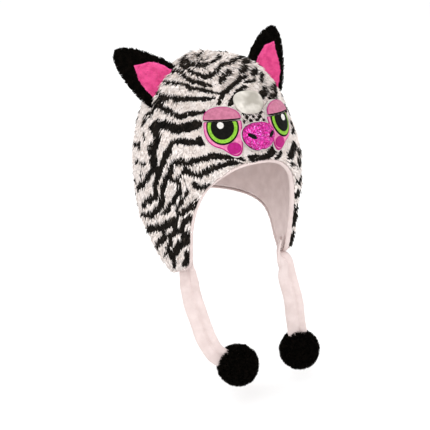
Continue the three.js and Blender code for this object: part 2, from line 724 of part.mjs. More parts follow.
function pompomGeometry({ x, y, z }, strap) {
  const golden = PI * (3 - Math.sqrt(5));
  let fused = toManifold(new THREE.SphereGeometry(POMPOM.head, 12, 8));
  for (let i = 0; i < POMPOM.locks; i++) {
    const height = 1 - (2 * (i + 0.5)) / POMPOM.locks;
    const level = Math.sqrt(1 - height * height);
    const direction = vector(level * cos(golden * i), level * sin(golden * i), height);
    fused = fused.add(toManifold(lockAt(direction, POMPOM.reach - LOCK_STEP * (i % 3))));
  }
  return toGeometry(fused.translate(x, y, z).subtract(strap));
}

for (const [name, tie] of Object.entries(TIES)) {
  addPiece(`tie_${name}`, tieGeometry(tie, 0), FLEECE);
  const strap = toManifold(tieGeometry(tie, POMPOM_GAP));
  addPiece(`pompom_${name}`, pompomGeometry(tie.pompom, strap), BLACK_PLUSH);
}

export default hat;
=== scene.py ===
"""A plush animal hat with ear flaps: striped fur, fleece, an appliqué face, ears, ties and pompoms.

Sizes below are millimetres. X runs to the wearer's left, Y to the back and Z up.
An angle around the hat is counted from its front, and grows towards the wearer's left.
"""
import math
from types import SimpleNamespace as Sizes

import bpy
import numpy as np
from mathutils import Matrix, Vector, noise
from mathutils.kdtree import KDTree


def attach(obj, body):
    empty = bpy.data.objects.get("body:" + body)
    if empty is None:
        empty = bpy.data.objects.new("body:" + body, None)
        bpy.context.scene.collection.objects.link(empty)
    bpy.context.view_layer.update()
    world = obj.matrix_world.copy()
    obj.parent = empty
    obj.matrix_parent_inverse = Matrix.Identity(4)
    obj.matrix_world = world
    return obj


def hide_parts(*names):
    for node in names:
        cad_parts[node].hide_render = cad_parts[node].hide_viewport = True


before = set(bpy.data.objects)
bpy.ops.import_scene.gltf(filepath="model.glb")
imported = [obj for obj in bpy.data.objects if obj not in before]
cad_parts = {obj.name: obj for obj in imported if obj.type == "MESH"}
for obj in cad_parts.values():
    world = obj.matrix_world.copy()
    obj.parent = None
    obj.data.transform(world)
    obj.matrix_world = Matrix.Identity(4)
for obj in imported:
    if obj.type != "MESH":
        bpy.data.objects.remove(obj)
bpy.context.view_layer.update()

MM = 0.001
SIDES = {"right": -1, "left": 1}
random = np.random.default_rng(20)  # a fixed seed, so that each run lays the same fur


# The seat of the hat: the face between the plush and its lining

HALF_WIDTH = 83
HALF_DEPTH = 99
DOME_HEIGHT = 118
DOME_POWER = 2.11  # 2 is an ellipsoid, more is squarer
EQUATOR_Z = -115.4
HEAD_MIDDLE = [0, 0, EQUATOR_Z]
WALL_SPAN = 150  # height of wall that one unit of the rows runs down
WALL_TAPER = 0.12  # how far the wall closes in on the jaw, as a share, over its lowest reach
TAPER_REACH = 105
SWAY = 4.6  # how far the wall leans to the wearer's left over the same reach
POLE_ROW = 0.02  # above this row, the way out turns straight up
SEWING_GAP = 0.15  # half of the gap between two pieces of cloth
PILE = 7
FACE_PILE = 3  # pressed short under the appliqué face
HEM_PILE = 0.45  # the share of the pile that is left where it rolls under at the hem
LINING = 2

# Degrees from the front, and height, from the middle of the brow to the nape.
HEM = [
    (0, -89), (9, -90.5), (17, -95), (24, -102), (30, -110), (35, -118.5), (39.5, -130), (44.3, -147),
    (48, -168), (50.5, -191), (53, -211), (58, -218), (65, -222.5), (72, -226.5), (78, -221.5), (86, -213),
    (95, -197), (106, -183.5), (121, -176.5), (136, -173.5), (151, -172), (166, -171.5), (180, -171.5),
]


def unit(vectors):
    return vectors / np.maximum(np.linalg.norm(vectors, axis=-1, keepdims=True), 1e-12)


def smooth(low, high, value):
    share = np.clip((value - low) / (high - low), 0, 1)
    return share * share * (3 - 2 * share)


def row_at(height):
    rise = (height - EQUATOR_Z) / DOME_HEIGHT
    dome = np.arccos(np.clip(rise, 0, 1) ** (DOME_POWER / 2)) / (np.pi / 2)
    return np.where(rise > 0, dome, 1 - (height - EQUATOR_Z) / WALL_SPAN)


def seat_point(around, row):
    """Points of the seat, from angles in radians and rows: 0 at the crown, 1 at the equator."""
    lowered = np.maximum(0, row - 1) * WALL_SPAN
    dome = np.clip(row, 0, 1) * (np.pi / 2)
    height = EQUATOR_Z + DOME_HEIGHT * np.maximum(0, np.cos(dome)) ** (2 / DOME_POWER) - lowered
    closing = 1 - WALL_TAPER * (lowered / TAPER_REACH) ** 2
    level = np.sin(dome) ** (2 / DOME_POWER) * closing
    reach = level / np.hypot(np.sin(around) / HALF_WIDTH, np.cos(around) / HALF_DEPTH)
    sway = SWAY * (lowered / TAPER_REACH) ** 1.5
    return np.stack([reach * np.sin(around) + sway, -reach * np.cos(around), height + 0 * around], -1)


def seat_normal(around, row):
    step = 1e-3
    held = np.maximum(row, POLE_ROW)
    along = seat_point(around + step, held) - seat_point(around - step, held)
    down = seat_point(around, held + step) - seat_point(around, held - step)
    normal = unit(np.cross(down, along))
    share = np.clip(row / POLE_ROW, 0, 1)[..., None]
    return unit(normal * share + np.array([0, 0, 1.0]) * (1 - share))


def off_seat(around, row, out):
    around, row, out = np.broadcast_arrays(np.asarray(around, float), np.asarray(row, float), out)
    return seat_point(around, row) + seat_normal(around, row) * out[..., None]


# The ellipse of short pile round the face, and how far to the front the pile starts to shorten, and is short.
FACE = Sizes(height=-54, half_width=86, half_height=56, fades_from=0.75)
FACE_START = (15, 45)
# Where the pile is gathered: the middle, the radius, and how far the pile rises or dips.
GATHERS = [((-21, 6, 0), 15, 2.8), ((3, 0, 0), 15, -3.5), ((84, -40, -126), 26, 2.8)]


def pile_at(point):
    front = smooth(*FACE_START, -point[..., 1])
    off = np.hypot(point[..., 0] / FACE.half_width, (point[..., 2] - FACE.height) / FACE.half_height)
    pile = PILE + (FACE_PILE - PILE) * front * (1 - smooth(FACE.fades_from, 1, off))
    for middle, radius, rise in GATHERS:
        pile = pile + rise * np.exp(-((np.linalg.norm(point - middle, axis=-1) / radius) ** 2))
    return pile


def spline(rows, share):
    """A smooth curve through the rows of a table, at shares from 0 to 1."""
    rows = np.asarray(rows, float)
    place = np.clip(np.asarray(share, float), 0, 1) * (len(rows) - 1)
    first = np.minimum(place.astype(int), len(rows) - 2)
    t = (place - first)[..., None]
    before, here = rows[np.maximum(first - 1, 0)], rows[first]
    after, last = rows[first + 1], rows[np.minimum(first + 2, len(rows) - 1)]
    leave, arrive = (after - before) / 2, (last - here) / 2
    cubic = (2 * here - 2 * after + leave + arrive) * t**3
    return cubic + (3 * after - 3 * here - 2 * leave - arrive) * t**2 + leave * t + here


def column_point(share, down, out):
    """A point of the shell: share from -1 (nape) by 0 (brow) to 1 (nape), and down from crown to hem."""
    hem = spline(HEM, np.abs(share))
    hem_around = np.radians(hem[..., 0]) * np.sign(share)
    around = np.pi * share + (hem_around - np.pi * share) * smooth(0, 1, down)
    row = row_at(hem[..., 1]) * down
    height = out(seat_point(around, row)) if callable(out) else out
    return off_seat(around, row, height)


def hem_frame(stations):
    """Shares round the hem, and there its points, the ways out and the ways down across it."""
    shares = (np.arange(stations) - stations / 2) / (stations / 2)
    here = column_point(shares, np.ones(stations), 0.0)
    along = unit(np.roll(here, -1, 0) - np.roll(here, 1, 0))
    hem = spline(HEM, np.abs(shares))
    out = seat_normal(np.radians(hem[:, 0]) * np.sign(shares), row_at(hem[:, 1]))
    below = unit(np.cross(along, out))
    return shares, here, out, np.where(below[:, 2:] > 0, -below, below)


# Noise

# Lumps of each kind of surface: their height, size and seed.
LUMPS = {
    "skin": (0.25, 6.0, 1.0), "lining": (0.18, 2.6, 2.0), "ear": (0.35, 7.0, 8.0), "tie": (0.2, 5.0, 12.0),
}


def noise_at(points, size, seed=0.0):
    """Smooth noise from -1 to 1, with features about as large as size."""
    shift = Vector((seed, 2 * seed, -seed))
    values = [noise.noise(Vector(point) / size + shift) for point in points.reshape(-1, 3)]
    return np.array(values).reshape(points.shape[:-1])


def layered_noise(points, layers):
    """Noise of several sizes together. Each layer is its strength, its size and its seed."""
    return sum(strength * noise_at(points, size, seed) for strength, size, seed in layers)


def lumpy(points, middle, kind):
    """Points moved in and out from a middle by the lumps of their kind."""
    height, size, seed = LUMPS[kind]
    return points + height * noise_at(points, size, seed)[..., None] * unit(points - middle)


# Meshes from arrays

def make_piece(name, points, faces, material, slot, body="root", replaces=(), smoothed=True):
    """A mesh from points in millimetres, and triangles or quads as an array of point numbers."""
    points = np.asarray(points, float).reshape(-1, 3)
    faces = np.asarray(faces)
    mesh = bpy.data.meshes.new(name)
    mesh.vertices.add(len(points))
    mesh.vertices.foreach_set("co", (points * MM).astype(np.float32).ravel())
    corners = faces.shape[1]
    mesh.loops.add(faces.size)
    mesh.loops.foreach_set("vertex_index", faces.astype(np.int32).ravel())
    mesh.polygons.add(len(faces))
    mesh.polygons.foreach_set("loop_start", (np.arange(len(faces)) * corners).astype(np.int32))
    mesh.polygons.foreach_set("use_smooth", np.full(len(faces), smoothed))
    mesh.update(calc_edges=True)
    mesh.validate()
    materials = material if isinstance(material, list) else [material]
    for each in materials:
        mesh.materials.append(each)
    piece = bpy.data.objects.new(name, mesh)
    bpy.context.scene.collection.objects.link(piece)
    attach(piece, body)
    if replaces:
        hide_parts(*replaces)
    return piece


def cover(node, kind, mesh, material, slot):
    """The piece that is seen in the place of a node."""
    return make_piece(f"{node}_{kind}", *mesh, material, slot, replaces=[node])


def signed_volume(points, triangles):
    a, b, c = (points[triangles[:, i]] for i in range(3))
    return np.einsum("ij,ij->i", a, np.cross(b, c)).sum()


def outward(points, triangles):
    return triangles if signed_volume(points, triangles) > 0 else triangles[:, ::-1]


def loft(rings, start, end):
    """A closed tube of triangles through rings of points, with a fan to a point at each end."""
    count, around = rings.shape[:2]
    points = np.concatenate([rings.reshape(-1, 3), [start, end]])
    ring = np.arange(around)
    turned = (ring + 1) % around
    faces = []
    for i in range(count - 1):
        a, b = i * around + ring, i * around + turned
        faces += [np.stack([a, b, b + around], 1), np.stack([a, b + around, a + around], 1)]
    last = (count - 1) * around
    faces.append(np.stack([np.full(around, count * around), turned, ring], 1))
    faces.append(np.stack([np.full(around, count * around + 1), last + ring, last + turned], 1))
    return points, outward(points, np.concatenate(faces))


def wall(outer, inner, start, end):
    """A closed wall between two sets of rings, joined along their last ring."""
    return loft(np.concatenate([outer, inner[::-1]]), start, end)


def each_with(points, faces):
    """One mesh of many closed forms that have the same few faces. Their points are by form and corner."""
    count, corners = points.shape[:2]
    numbered = (faces[None] + corners * np.arange(count)[:, None, None]).reshape(-1, 3)
    flat = points.reshape(-1, 3)
    return flat, outward(flat, numbered)


# Fur: closed, bent tufts that lie over one another

# Of a tuft's five points, the first is its root and the last its tip.
TUFT_FACES = np.array([(0, 2, 1), (0, 3, 2), (0, 1, 3), (1, 2, 4), (2, 3, 4), (3, 1, 4)])
TUFT_WIDEST = 0.36  # the share of its length where it is widest and bends over
TUFT_BEND = 0.66  # the share of its rise there
TUFT_ROOF = 0.45  # how far its back stands up there, as a share of its width


def scatter(points, triangles, count):
    """Random places on a surface, and the outward normals there."""
    a, b, c = (points[triangles[:, i]] for i in range(3))
    cross = np.cross(b - a, c - a)
    area = np.linalg.norm(cross, axis=1)
    chosen = random.choice(len(triangles), count, p=area / area.sum())
    u, v = random.random((2, count, 1))
    fold = u + v > 1
    u, v = np.where(fold, 1 - u, u), np.where(fold, 1 - v, v)
    place = a[chosen] + u * (b - a)[chosen] + v * (c - a)[chosen]
    return place, unit(cross)[chosen]


def along_surface(ways, normals):
    return unit(ways - normals * np.einsum("ij,ij->i", ways, normals)[:, None])


def tufts(roots, normals, lie, length, width, rise):
    """Points and triangles of a tuft at each root. It leans along lie, and its tip stands rise above it."""
    along = along_surface(lie, normals)
    aside = np.cross(normals, along)
    length, width, rise = (np.broadcast_to(v, len(roots))[:, None] for v in (length, width, rise))
    middle = roots + along * length * TUFT_WIDEST + normals * rise * TUFT_BEND
    half = aside * width / 2
    back = middle + normals * width * TUFT_ROOF
    tip = roots + along * length + normals * rise
    return each_with(np.stack([roots, middle - half, middle + half, back, tip], 1), TUFT_FACES)


# Materials

GRAIN_DETAIL = 3
BUMP_DETAIL = 2
BUMP_DEPTH = 0.0006


def principled(name, color, roughness, **settings):
    material = bpy.data.materials.new(name)
    material.use_nodes = True
    shader = material.node_tree.nodes["Principled BSDF"]
    shader.inputs["Base Color"].default_value = (*color, 1)
    shader.inputs["Roughness"].default_value = roughness
    for socket, value in settings.items():
        shader.inputs[socket.replace("_", " ")].default_value = value
    return material


def add_pattern(material, colors, scale, contrast=(0.35, 0.65), bump=0.0, bump_scale=None):
    """Noise between two colours of the material, and fine bump."""
    nodes, links = material.node_tree.nodes, material.node_tree.links
    shader = nodes["Principled BSDF"]
    place = nodes.new("ShaderNodeTexCoord")
    grain = nodes.new("ShaderNodeTexNoise")
    grain.inputs["Scale"].default_value = scale
    grain.inputs["Detail"].default_value = GRAIN_DETAIL
    ramp = nodes.new("ShaderNodeValToRGB")
    for stop, position, color in zip(ramp.color_ramp.elements, contrast, colors):
        stop.position = position
        stop.color = (*color, 1)
    links.new(place.outputs["Object"], grain.inputs["Vector"])
    links.new(grain.outputs["Fac"], ramp.inputs["Fac"])
    links.new(ramp.outputs["Color"], shader.inputs["Base Color"])
    if bump:
        fine = nodes.new("ShaderNodeTexNoise")
        fine.inputs["Scale"].default_value = bump_scale
        fine.inputs["Detail"].default_value = BUMP_DETAIL
        relief = nodes.new("ShaderNodeBump")
        relief.inputs["Strength"].default_value = bump
        relief.inputs["Distance"].default_value = BUMP_DEPTH
        links.new(place.outputs["Object"], fine.inputs["Vector"])
        links.new(fine.outputs["Fac"], relief.inputs["Height"])
        links.new(relief.outputs["Normal"], shader.inputs["Normal"])
    return material


def cloth(name, dark, light, scale, roughness=0.9, sheen=0.15, gloss=0.2, bump=0.5, bump_scale=900.0):
    """A textile: noise between a dark and a light tone, a soft sheen, a faint gloss and fine bump."""
    looks = {"Sheen_Weight": sheen, "Sheen_Roughness": 0.5, "Specular_IOR_Level": gloss}
    made = principled(name, light, roughness, **looks)
    return add_pattern(made, (dark, light), scale, bump=bump, bump_scale=bump_scale)


# Each textile: its name, dark and light tone, the scale of its noise, then roughness, sheen, gloss and bump.
light_fur = cloth("light_fur", (0.84, 0.75, 0.70), (0.98, 0.91, 0.88), 130.0, 0.8, 0.1, 0.2, 0)
# The shaded light fur paints shade: between clumps of tufts, on the crown and in the ruffles.
shaded_fur = cloth("shaded_light_fur", (0.52, 0.44, 0.39), (0.70, 0.61, 0.56), 160.0, 0.85, 0.05, 0.15, 0)
dark_fur = cloth("dark_fur", (0.005, 0.004, 0.003), (0.016, 0.012, 0.009), 110.0, 0.8, 0.0, 0.12, 0)
# A lighter, brownish tone that some dark tufts take, more on the crown and in the ruffles.
brownish_fur = cloth("brownish_dark_fur", (0.03, 0.023, 0.017), (0.07, 0.055, 0.043), 160.0, 0.85, 0.0, 0.12, 0)
fleece = cloth("fleece", (0.64, 0.53, 0.51), (0.72, 0.61, 0.59), 90.0, 0.95, 0.1, 0.15, 0.5, 700.0)
black_plush = cloth("black_plush", (0.001, 0.001, 0.0005), (0.005, 0.0035, 0.0025), 200.0, 0.85, 0.0, 0.03, 0)
pink_plush = cloth("pink_plush", (0.78, 0.06, 0.26), (0.94, 0.11, 0.37), 160.0, 0.85, 0.1, 0.2, 0.3)
white_felt = cloth("white_felt", (0.50, 0.46, 0.43), (0.64, 0.60, 0.57), 300.0, 0.95, 0.1, 0.15, 0.6)
green_thread = cloth("green_thread", (0.14, 0.37, 0.014), (0.26, 0.55, 0.035), 500.0, 0.6, 0.05, 0.25, 0.5)
black_thread = cloth("black_thread", (0.002, 0.002, 0.0015), (0.006, 0.0055, 0.0045), 500.0, 0.7, 0, 0.08)
white_thread = cloth("white_thread", (0.60, 0.58, 0.55), (0.74, 0.72, 0.69), 500.0, 0.6, 0.05, 0.25, 0.5)
pink_thread = cloth("pink_thread", (0.40, 0.12, 0.20), (0.52, 0.17, 0.27), 300.0, 0.7, 0.1, 0.2, 0.5)
bright_pink = cloth("bright_pink_thread", (0.62, 0.16, 0.33), (0.80, 0.27, 0.47), 300.0, 0.7, 0.1, 0.2, 0.5)
magenta_thread = cloth("magenta_thread", (0.33, 0.002, 0.125), (0.44, 0.004, 0.20), 400.0, 0.6, 0.05)
foil = principled("magenta_foil", (0.50, 0.01, 0.30), 0.4, Metallic=0.4)
add_pattern(foil, ((0.26, 0.001, 0.09), (0.62, 0.008, 0.30)), 300.0, bump=0.8, bump_scale=600.0)
flake = principled("glitter", (0.85, 0.08, 0.62), 0.25, Metallic=0.85)
add_pattern(flake, ((0.40, 0.0015, 0.18), (1.0, 0.075, 0.56)), 620.0, contrast=(0.36, 0.64))
lilac_flake = principled("lilac_glitter", (0.75, 0.35, 0.95), 0.2, Metallic=0.85)
add_pattern(lilac_flake, ((0.46, 0.04, 0.46), (1.0, 0.50, 0.92)), 500.0)
silver = principled("silver_cloth", (0.60, 0.56, 0.50), 0.42, Metallic=0.6)
add_pattern(silver, ((0.42, 0.39, 0.34), (0.84, 0.80, 0.74)), 55.0, bump=0.5, bump_scale=260.0)


# Stripes: the width of each, and the line along its middle as degrees from the front and rows of the seat

NEAR_STRIPES = [
    (3.3, [(-105, .22), (-90, .225), (-80, .235), (-65, .255)]),
    (6, [(-60, .205), (-50, .22), (-41, .21)]),
    (3.5, [(-125, .285), (-110, .275), (-95, .27), (-85, .275), (-75, .285), (-65, .30), (-55, .312),
           (-45, .312), (-35, .298), (-30, .275), (-27, .245), (-25, .215)]),
    (4, [(-125, .35), (-110, .346), (-100, .339), (-90, .327), (-80, .325), (-73, .34), (-65, .361),
         (-55, .374), (-45, .376), (-35, .384), (-31, .388)]),
    (3.4, [(-109, .44), (-100, .436), (-90, .429), (-80, .421), (-73, .414), (-65, .41), (-60, .414),
           (-55, .429), (-49, .421), (-43, .4175), (-37, .425), (-31, .4325), (-25, .444)]),
    (4.4, [(-106, .5225), (-95, .53), (-83, .53), (-73, .5225), (-65, .519), (-57, .504), (-49, .4985),
           (-40, .487), (-35, .4835), (-29, .476)]),
    (5, [(-75, .53), (-82, .5525), (-88, .5675), (-90, .605), (-91, .635), (-93, .665), (-98, .68),
         (-101, .7175), (-103, .755)]),
    (4.4, [(-90, .605), (-80, .60), (-72, .609), (-65, .62), (-57, .6275), (-51, .60), (-45, .594),
           (-37, .575)]),
    (8, [(-86, .7175), (-80, .71), (-72, .7025), (-65, .70), (-58, .705), (-53, .69), (-48, .675),
         (-42, .66), (-38, .65)]),
    (8, [(-89, .735), (-82, .75), (-77, .76), (-75, .785), (-76, .82), (-79, .85), (-77, .88),
         (-76, .91), (-78, .93), (-73, .96), (-70, .985)]),
    (6, [(-79, .85), (-86, .88)]),
    (6, [(-58, .785), (-61, .80), (-62, .83), (-64, .86), (-66, .89), (-68, .935), (-70, .975),
         (-73, 1.01), (-74, 1.03), (-76, 1.065), (-75.5, 1.10), (-75, 1.13), (-77, 1.165), (-81, 1.185),
         (-85, 1.205), (-90, 1.21), (-93, 1.225)]),
    (5, [(-61, .78), (-51, .774), (-45, .77), (-40, .765), (-36, .775)]),
    (5, [(-40, .77), (-40, .735)]),
    (4.5, [(-60, .94), (-59, .915), (-57, .90), (-53, .885), (-45, .88), (-40, .867), (-35, .852),
           (-30, .8375), (-21, .84), (-15, .8375), (-10, .865)]),
    (4, [(-53, .98), (-50, .945), (-47, .925), (-40, .94), (-35, .925), (-30, .908), (-25, .888),
         (-17, .871), (-11, .879)]),
    (5, [(-70, .97), (-80, .985), (-84, 1.02), (-87, 1.05), (-91, 1.09), (-93, 1.11), (-98, 1.12),
         (-103, 1.15), (-109, 1.19), (-120, 1.215)]),
    (4, [(-90, 1.24), (-96, 1.275), (-101, 1.29)]),
    (6, [(-53, .887), (-56, .90), (-59, .925), (-60, .96), (-63, .99), (-65, 1.03), (-66, 1.065),
         (-67, 1.10), (-68, 1.14), (-69, 1.17), (-70, 1.205), (-73, 1.24), (-77, 1.27), (-80, 1.295),
         (-85, 1.32), (-91, 1.33), (-97, 1.355), (-103, 1.37), (-109, 1.39), (-118, 1.44)]),
    (4.5, [(-63, .99), (-57, .99), (-53, .985), (-52.5, 1.03), (-52.5, 1.07), (-55, 1.10), (-57, 1.145),
           (-61, 1.175), (-62, 1.205), (-65, 1.24), (-69, 1.26)]),
    (4.5, [(-43, .985), (-39, .998), (-35, 1.0), (-30, .985)]),
    (3, [(-44, 1.04), (-47, 1.05), (-47, 1.08), (-50, 1.11), (-51, 1.145), (-54, 1.18), (-55.5, 1.22)]),
    (6.5, [(-57, 1.265), (-59.5, 1.295), (-62, 1.32), (-66, 1.35), (-69, 1.37), (-73, 1.38), (-77, 1.40),
           (-81, 1.41), (-87, 1.43), (-91, 1.45), (-95, 1.47), (-101, 1.485)]),
    (4.4, [(-38, 1.09), (-40, 1.11), (-43, 1.14), (-45, 1.17), (-48, 1.19), (-50, 1.22), (-53, 1.235),
           (-54.5, 1.265), (-56, 1.31), (-58, 1.34), (-57, 1.37), (-60, 1.41), (-62, 1.44), (-63, 1.48),
           (-65, 1.51), (-67, 1.56), (-69, 1.59), (-75, 1.63)]),
    (4, [(-45, 1.22), (-46.5, 1.265), (-49, 1.285), (-50.5, 1.33), (-52, 1.36), (-55, 1.38)]),
    (6.5, [(-48, 1.35), (-49, 1.395), (-49, 1.44), (-53, 1.465), (-55, 1.49), (-58, 1.53), (-61, 1.56),
           (-63, 1.59), (-62.5, 1.625), (-62, 1.68)]),
    (5.5, [(-69, 1.40), (-68, 1.44), (-71, 1.47), (-73, 1.50), (-77, 1.515), (-80, 1.545), (-83, 1.58),
           (-82, 1.60)]),
    (4.5, [(-48, 1.515), (-49, 1.55), (-49, 1.60), (-51.5, 1.635), (-53, 1.66)]),
    (4, [(-97, .785), (-92, .82)]),
    (4, [(-95, 1.0), (-96, 1.07)]),
    (4, [(-102, .88), (-98, .882)]),
    (3, [(-125, .92), (-115, .8975), (-105, .875), (-99, .8525)]),
    (2.5, [(-117, 1.01), (-105, .975), (-101, .96), (-91, .96), (-85, .946)]),
    (3, [(-120, 1.15), (-109, 1.13)]),
]
FRONT_STRIPES = [
    (6, [(-23, .36), (-21, .335), (-18, .31), (-14, .285), (-10, .27), (-6, .265)]),
    (4.4, [(-27, .525), (-25, .50), (-22, .4625), (-21, .4325), (-17, .4175), (-13, .395), (-7, .365),
           (-1, .3425), (1, .3275), (4, .2975)]),
    (5, [(-17, .53), (-15, .5075), (-11, .47), (-7, .44), (-2, .4175), (2, .4025), (5, .41)]),
    (7, [(5, .285), (10, .27), (15, .26), (20, .25), (28, .23), (35, .218), (45, .21), (60, .205)]),
    (5, [(4, .33), (9, .32), (13, .31)]),
    (7, [(22, .32), (28, .312), (36, .305), (44, .295)]),
    (3.5, [(4, .37), (12, .366), (20, .365), (24, .358)]),
    (5, [(27, .395), (35, .378), (42, .362), (52, .355)]),
    (7, [(13, .495), (18, .48), (24, .462), (30, .445)]),
    (7, [(24, .518), (30, .525), (37, .52), (45, .508), (58, .50), (66, .51)]),
    (5, [(34, .478), (42, .483), (52, .468)]),
    (7, [(35, .61), (42, .63), (50, .65), (62, .655)]),
    (6, [(42, .735), (48, .745), (60, .745)]),
    (5, [(41, .785), (50, .79), (60, .795)]),
    (8, [(-7, .848), (0, .868), (6, .858), (12, .82), (14, .80)]),
    (4, [(12, .884), (16, .866), (19, .845)]),
    (7, [(25, .905), (30, .885), (35, .865), (41, .85)]),
    (6, [(36, .925), (41, .908), (47, .90), (58, .905)]),
    (3, [(25, .935), (30, .95)]),
    (7, [(35, .955), (42, .965), (56, .975)]),
    (7, [(41, 1.085), (55, 1.11)]),
    (6, [(42, 1.19), (56, 1.22)]),
    (5.5, [(43, 1.30), (57, 1.345)]),
    (4, [(43, 1.38), (57, 1.43)]),
    (6, [(49.5, 1.36), (50.5, 1.42), (51.5, 1.48)]),
    (7, [(52, 1.535), (53.5, 1.60), (57, 1.665)]),
]
# On top of the crown, as X and Y.
CROWN_STRIPES = [
    (5, [(-22, 16), (-27, 11), (-31, 6)]),
    (3.5, [(-11, 8), (-13, 3), (-19, 1), (-22, -4), (-25, -8)]),
    (4, [(-32, 10), (-33, 0), (-30, -10), (-27, -17), (-22, -20), (-15, -21), (-9, -18), (-4, -13),
         (0, -5), (3, 4), (7, 13), (12, 21)]),
    (4.5, [(-36, -18), (-34, -30), (-28, -37), (-22, -37), (-16, -35), (-12, -31), (-6, -30), (0, -31),
           (6, -28), (14, -22), (20, -15), (26, -8), (32, -2), (38, 4)]),
    (4, [(-8, 24), (0, 26), (6, 31), (10, 38)]),
]
# Small black spots on the short fur between the patch and the nose: degrees, row and radius.
FACE_SPOTS = [
    (-7, .585, 2.28), (-2.3, .59, 2.64), (2.8, .588, 2.28), (7.4, .592, 2.52), (-5, .614, 2.4),
    (0, .613, 2.28), (5, .616, 2.64), (-7.8, .637, 2.16), (-2.5, .636, 2.52), (2.8, .639, 2.4),
    (7.8, .642, 2.16),
]
SKIN = 0.6  # the share of the pile's height where the skin lies that carries the tufts
PATH_STEPS = 3  # for each point of a stripe's line
STRIPE_SWAY = 5.5  # degrees that the near stripes step back where the wall leans
# Past so many degrees the far side repeats the near stripes, each shifted by up to so many rows.
MIRROR_FROM = 60
MIRROR_SHIFT = 0.012
MIRROR_TURN = 2.4  # radians from one stripe's shift to the next one's
WIDER, WIDER_BY = 1.2, 1.2  # the light fur lies over the edges of the dark
STRIPE_END, STRIPE_FILLS = 0.35, 5  # how wide a stripe ends, as a share, and how fast it widens from there
SLIMMER, SLIM_HEIGHTS = 0.13, (-50, -18)  # how much thinner stripes are on the crown, and where this sets in
# Noise on the edges of the stripes and in the waves of the back: layers of a strength, a size and a seed.
EDGE_NOISE = [(0.9, 5.0, 3.0), (0.5, 1.8, 7.0)]
WAVE_NOISE = [(9, 34.0, 11.0), (3.5, 13.0, 5.0)]
# The waves of the back: their pitch, half their width as a share of it, how far they slope and how rough they
# are, and the noise that breaks them up.
WAVE = Sizes(pitch=12.5, half=0.19, slope=0.25, rough=0.02, size=24.0, seed=17.0, breaks=0.34)
# Where the waves start: degrees from the front on each side, with a slope and a rough edge, and on the crown.
BACK = Sizes(near=128, far=116, slope=0.12, rough=6, above=-12, behind=12)


def resampled(path):
    """A line on the seat, in short steps and set off to where the skin lies."""
    around, row = spline(path, np.linspace(0, 1, PATH_STEPS * len(path))).T
    around = np.radians(around - np.where(around < 0, STRIPE_SWAY * np.maximum(0, row - 1) ** 1.5, 0))
    return off_seat(around, row, SKIN * pile_at(seat_point(around, row)))


def crown_row(x, y):
    level = np.hypot(x / HALF_WIDTH, y / HALF_DEPTH)
    return np.arcsin(np.clip(level, 0, 1) ** (DOME_POWER / 2)) / (np.pi / 2)


def stripe_paths():
    """Every drawn stripe, as its width and its points. The far side repeats the near side with a shift."""
    paths = [(width, resampled(path)) for width, path in NEAR_STRIPES + FRONT_STRIPES]
    for i, (width, path) in enumerate(NEAR_STRIPES):
        shift = MIRROR_SHIFT * math.sin(MIRROR_TURN * i)
        mirrored = [(-around, row + shift) for around, row in path if -around > MIRROR_FROM]
        if len(mirrored) > 1:
            paths.append((width, resampled(mirrored)))
    for width, path in CROWN_STRIPES:
        steps = spline(path, np.linspace(0, 1, PATH_STEPS * len(path)))
        around = np.arctan2(steps[:, 0], -steps[:, 1])
        paths.append((width, off_seat(around, crown_row(*steps.T), SKIN * PILE)))
    return paths


def distance_to_path(points, path):
    """How far each point is from a line, and how far along the line the nearest place is."""
    a, b = path[:-1], path[1:]
    step = b - a
    best = np.full(len(points), np.inf)
    share = np.zeros(len(points))
    lengths = np.maximum((step * step).sum(1), 1e-9)
    for i in range(len(a)):
        t = np.clip(((points - a[i]) @ step[i]) / lengths[i], 0, 1)
        far = np.linalg.norm(points - a[i] - t[:, None] * step[i], axis=1)
        closer = far < best
        best = np.where(closer, far, best)
        share = np.where(closer, (i + t) / len(a), share)
    return best, share


def on_stripe(points, wobble):
    dark = np.zeros(len(points), bool)
    for width, path in stripe_paths():
        low, high = path.min(0) - width, path.max(0) + width
        near = ((points > low) & (points < high)).all(1)
        if not near.any():
            continue
        far, share = distance_to_path(points[near], path)
        taper = np.minimum(1, STRIPE_END + STRIPE_FILLS * np.minimum(share, 1 - share))
        slim = 1 - SLIMMER * smooth(*SLIM_HEIGHTS, points[near][:, 2])
        dark[near] |= far + wobble[near] < 0.5 * (width * WIDER + WIDER_BY) * taper * slim
    return dark


def on_wave(points, wobble):
    warp = layered_noise(points, WAVE_NOISE)
    band = np.mod((points[:, 2] - WAVE.slope * points[:, 1] + warp) / WAVE.pitch, 1)
    broken = noise_at(points, WAVE.size, WAVE.seed) > WAVE.breaks
    return (np.abs(band - 0.5) < WAVE.half - WAVE.rough * wobble) & ~broken


def is_dark(points):
    """Whether the fur is dark at each point: drawn stripes and spots, and waves on the back."""
    wobble = layered_noise(points, EDGE_NOISE)
    dark = on_stripe(points, wobble)
    for degrees, row, radius in FACE_SPOTS:
        centre = off_seat(math.radians(degrees), row, SKIN * FACE_PILE)
        dark |= np.linalg.norm(points - centre, axis=1) < radius
    around = np.degrees(np.arctan2(points[:, 0], -points[:, 1]))
    turned = np.abs(around) - BACK.slope * points[:, 2] - BACK.rough * wobble
    behind = turned > np.where(around < 0, BACK.near, BACK.far)
    top = (points[:, 2] > BACK.above) & (points[:, 1] > BACK.behind)
    return np.where(behind | top, on_wave(points, wobble), dark)


# The plush skin

# Columns and rows of each wall.
SKIN_GRID = (264, 100)
LINING_GRID = (168, 72)
ROLLED_FROM = 0.985  # how far down to the hem the pile starts to roll under
NAP = 0.2  # how far the fleece of the lining stands in from its wall


def shell_grid(columns, rows, out):
    """Rings of points from the crown to the hem, evenly spaced round the brow and nape."""
    shares = (np.arange(columns) - columns / 2) / (columns / 2)
    downs = np.linspace(0, 1, rows + 1)[1:]
    share, down = np.meshgrid(shares, downs)
    return column_point(share, down, out)


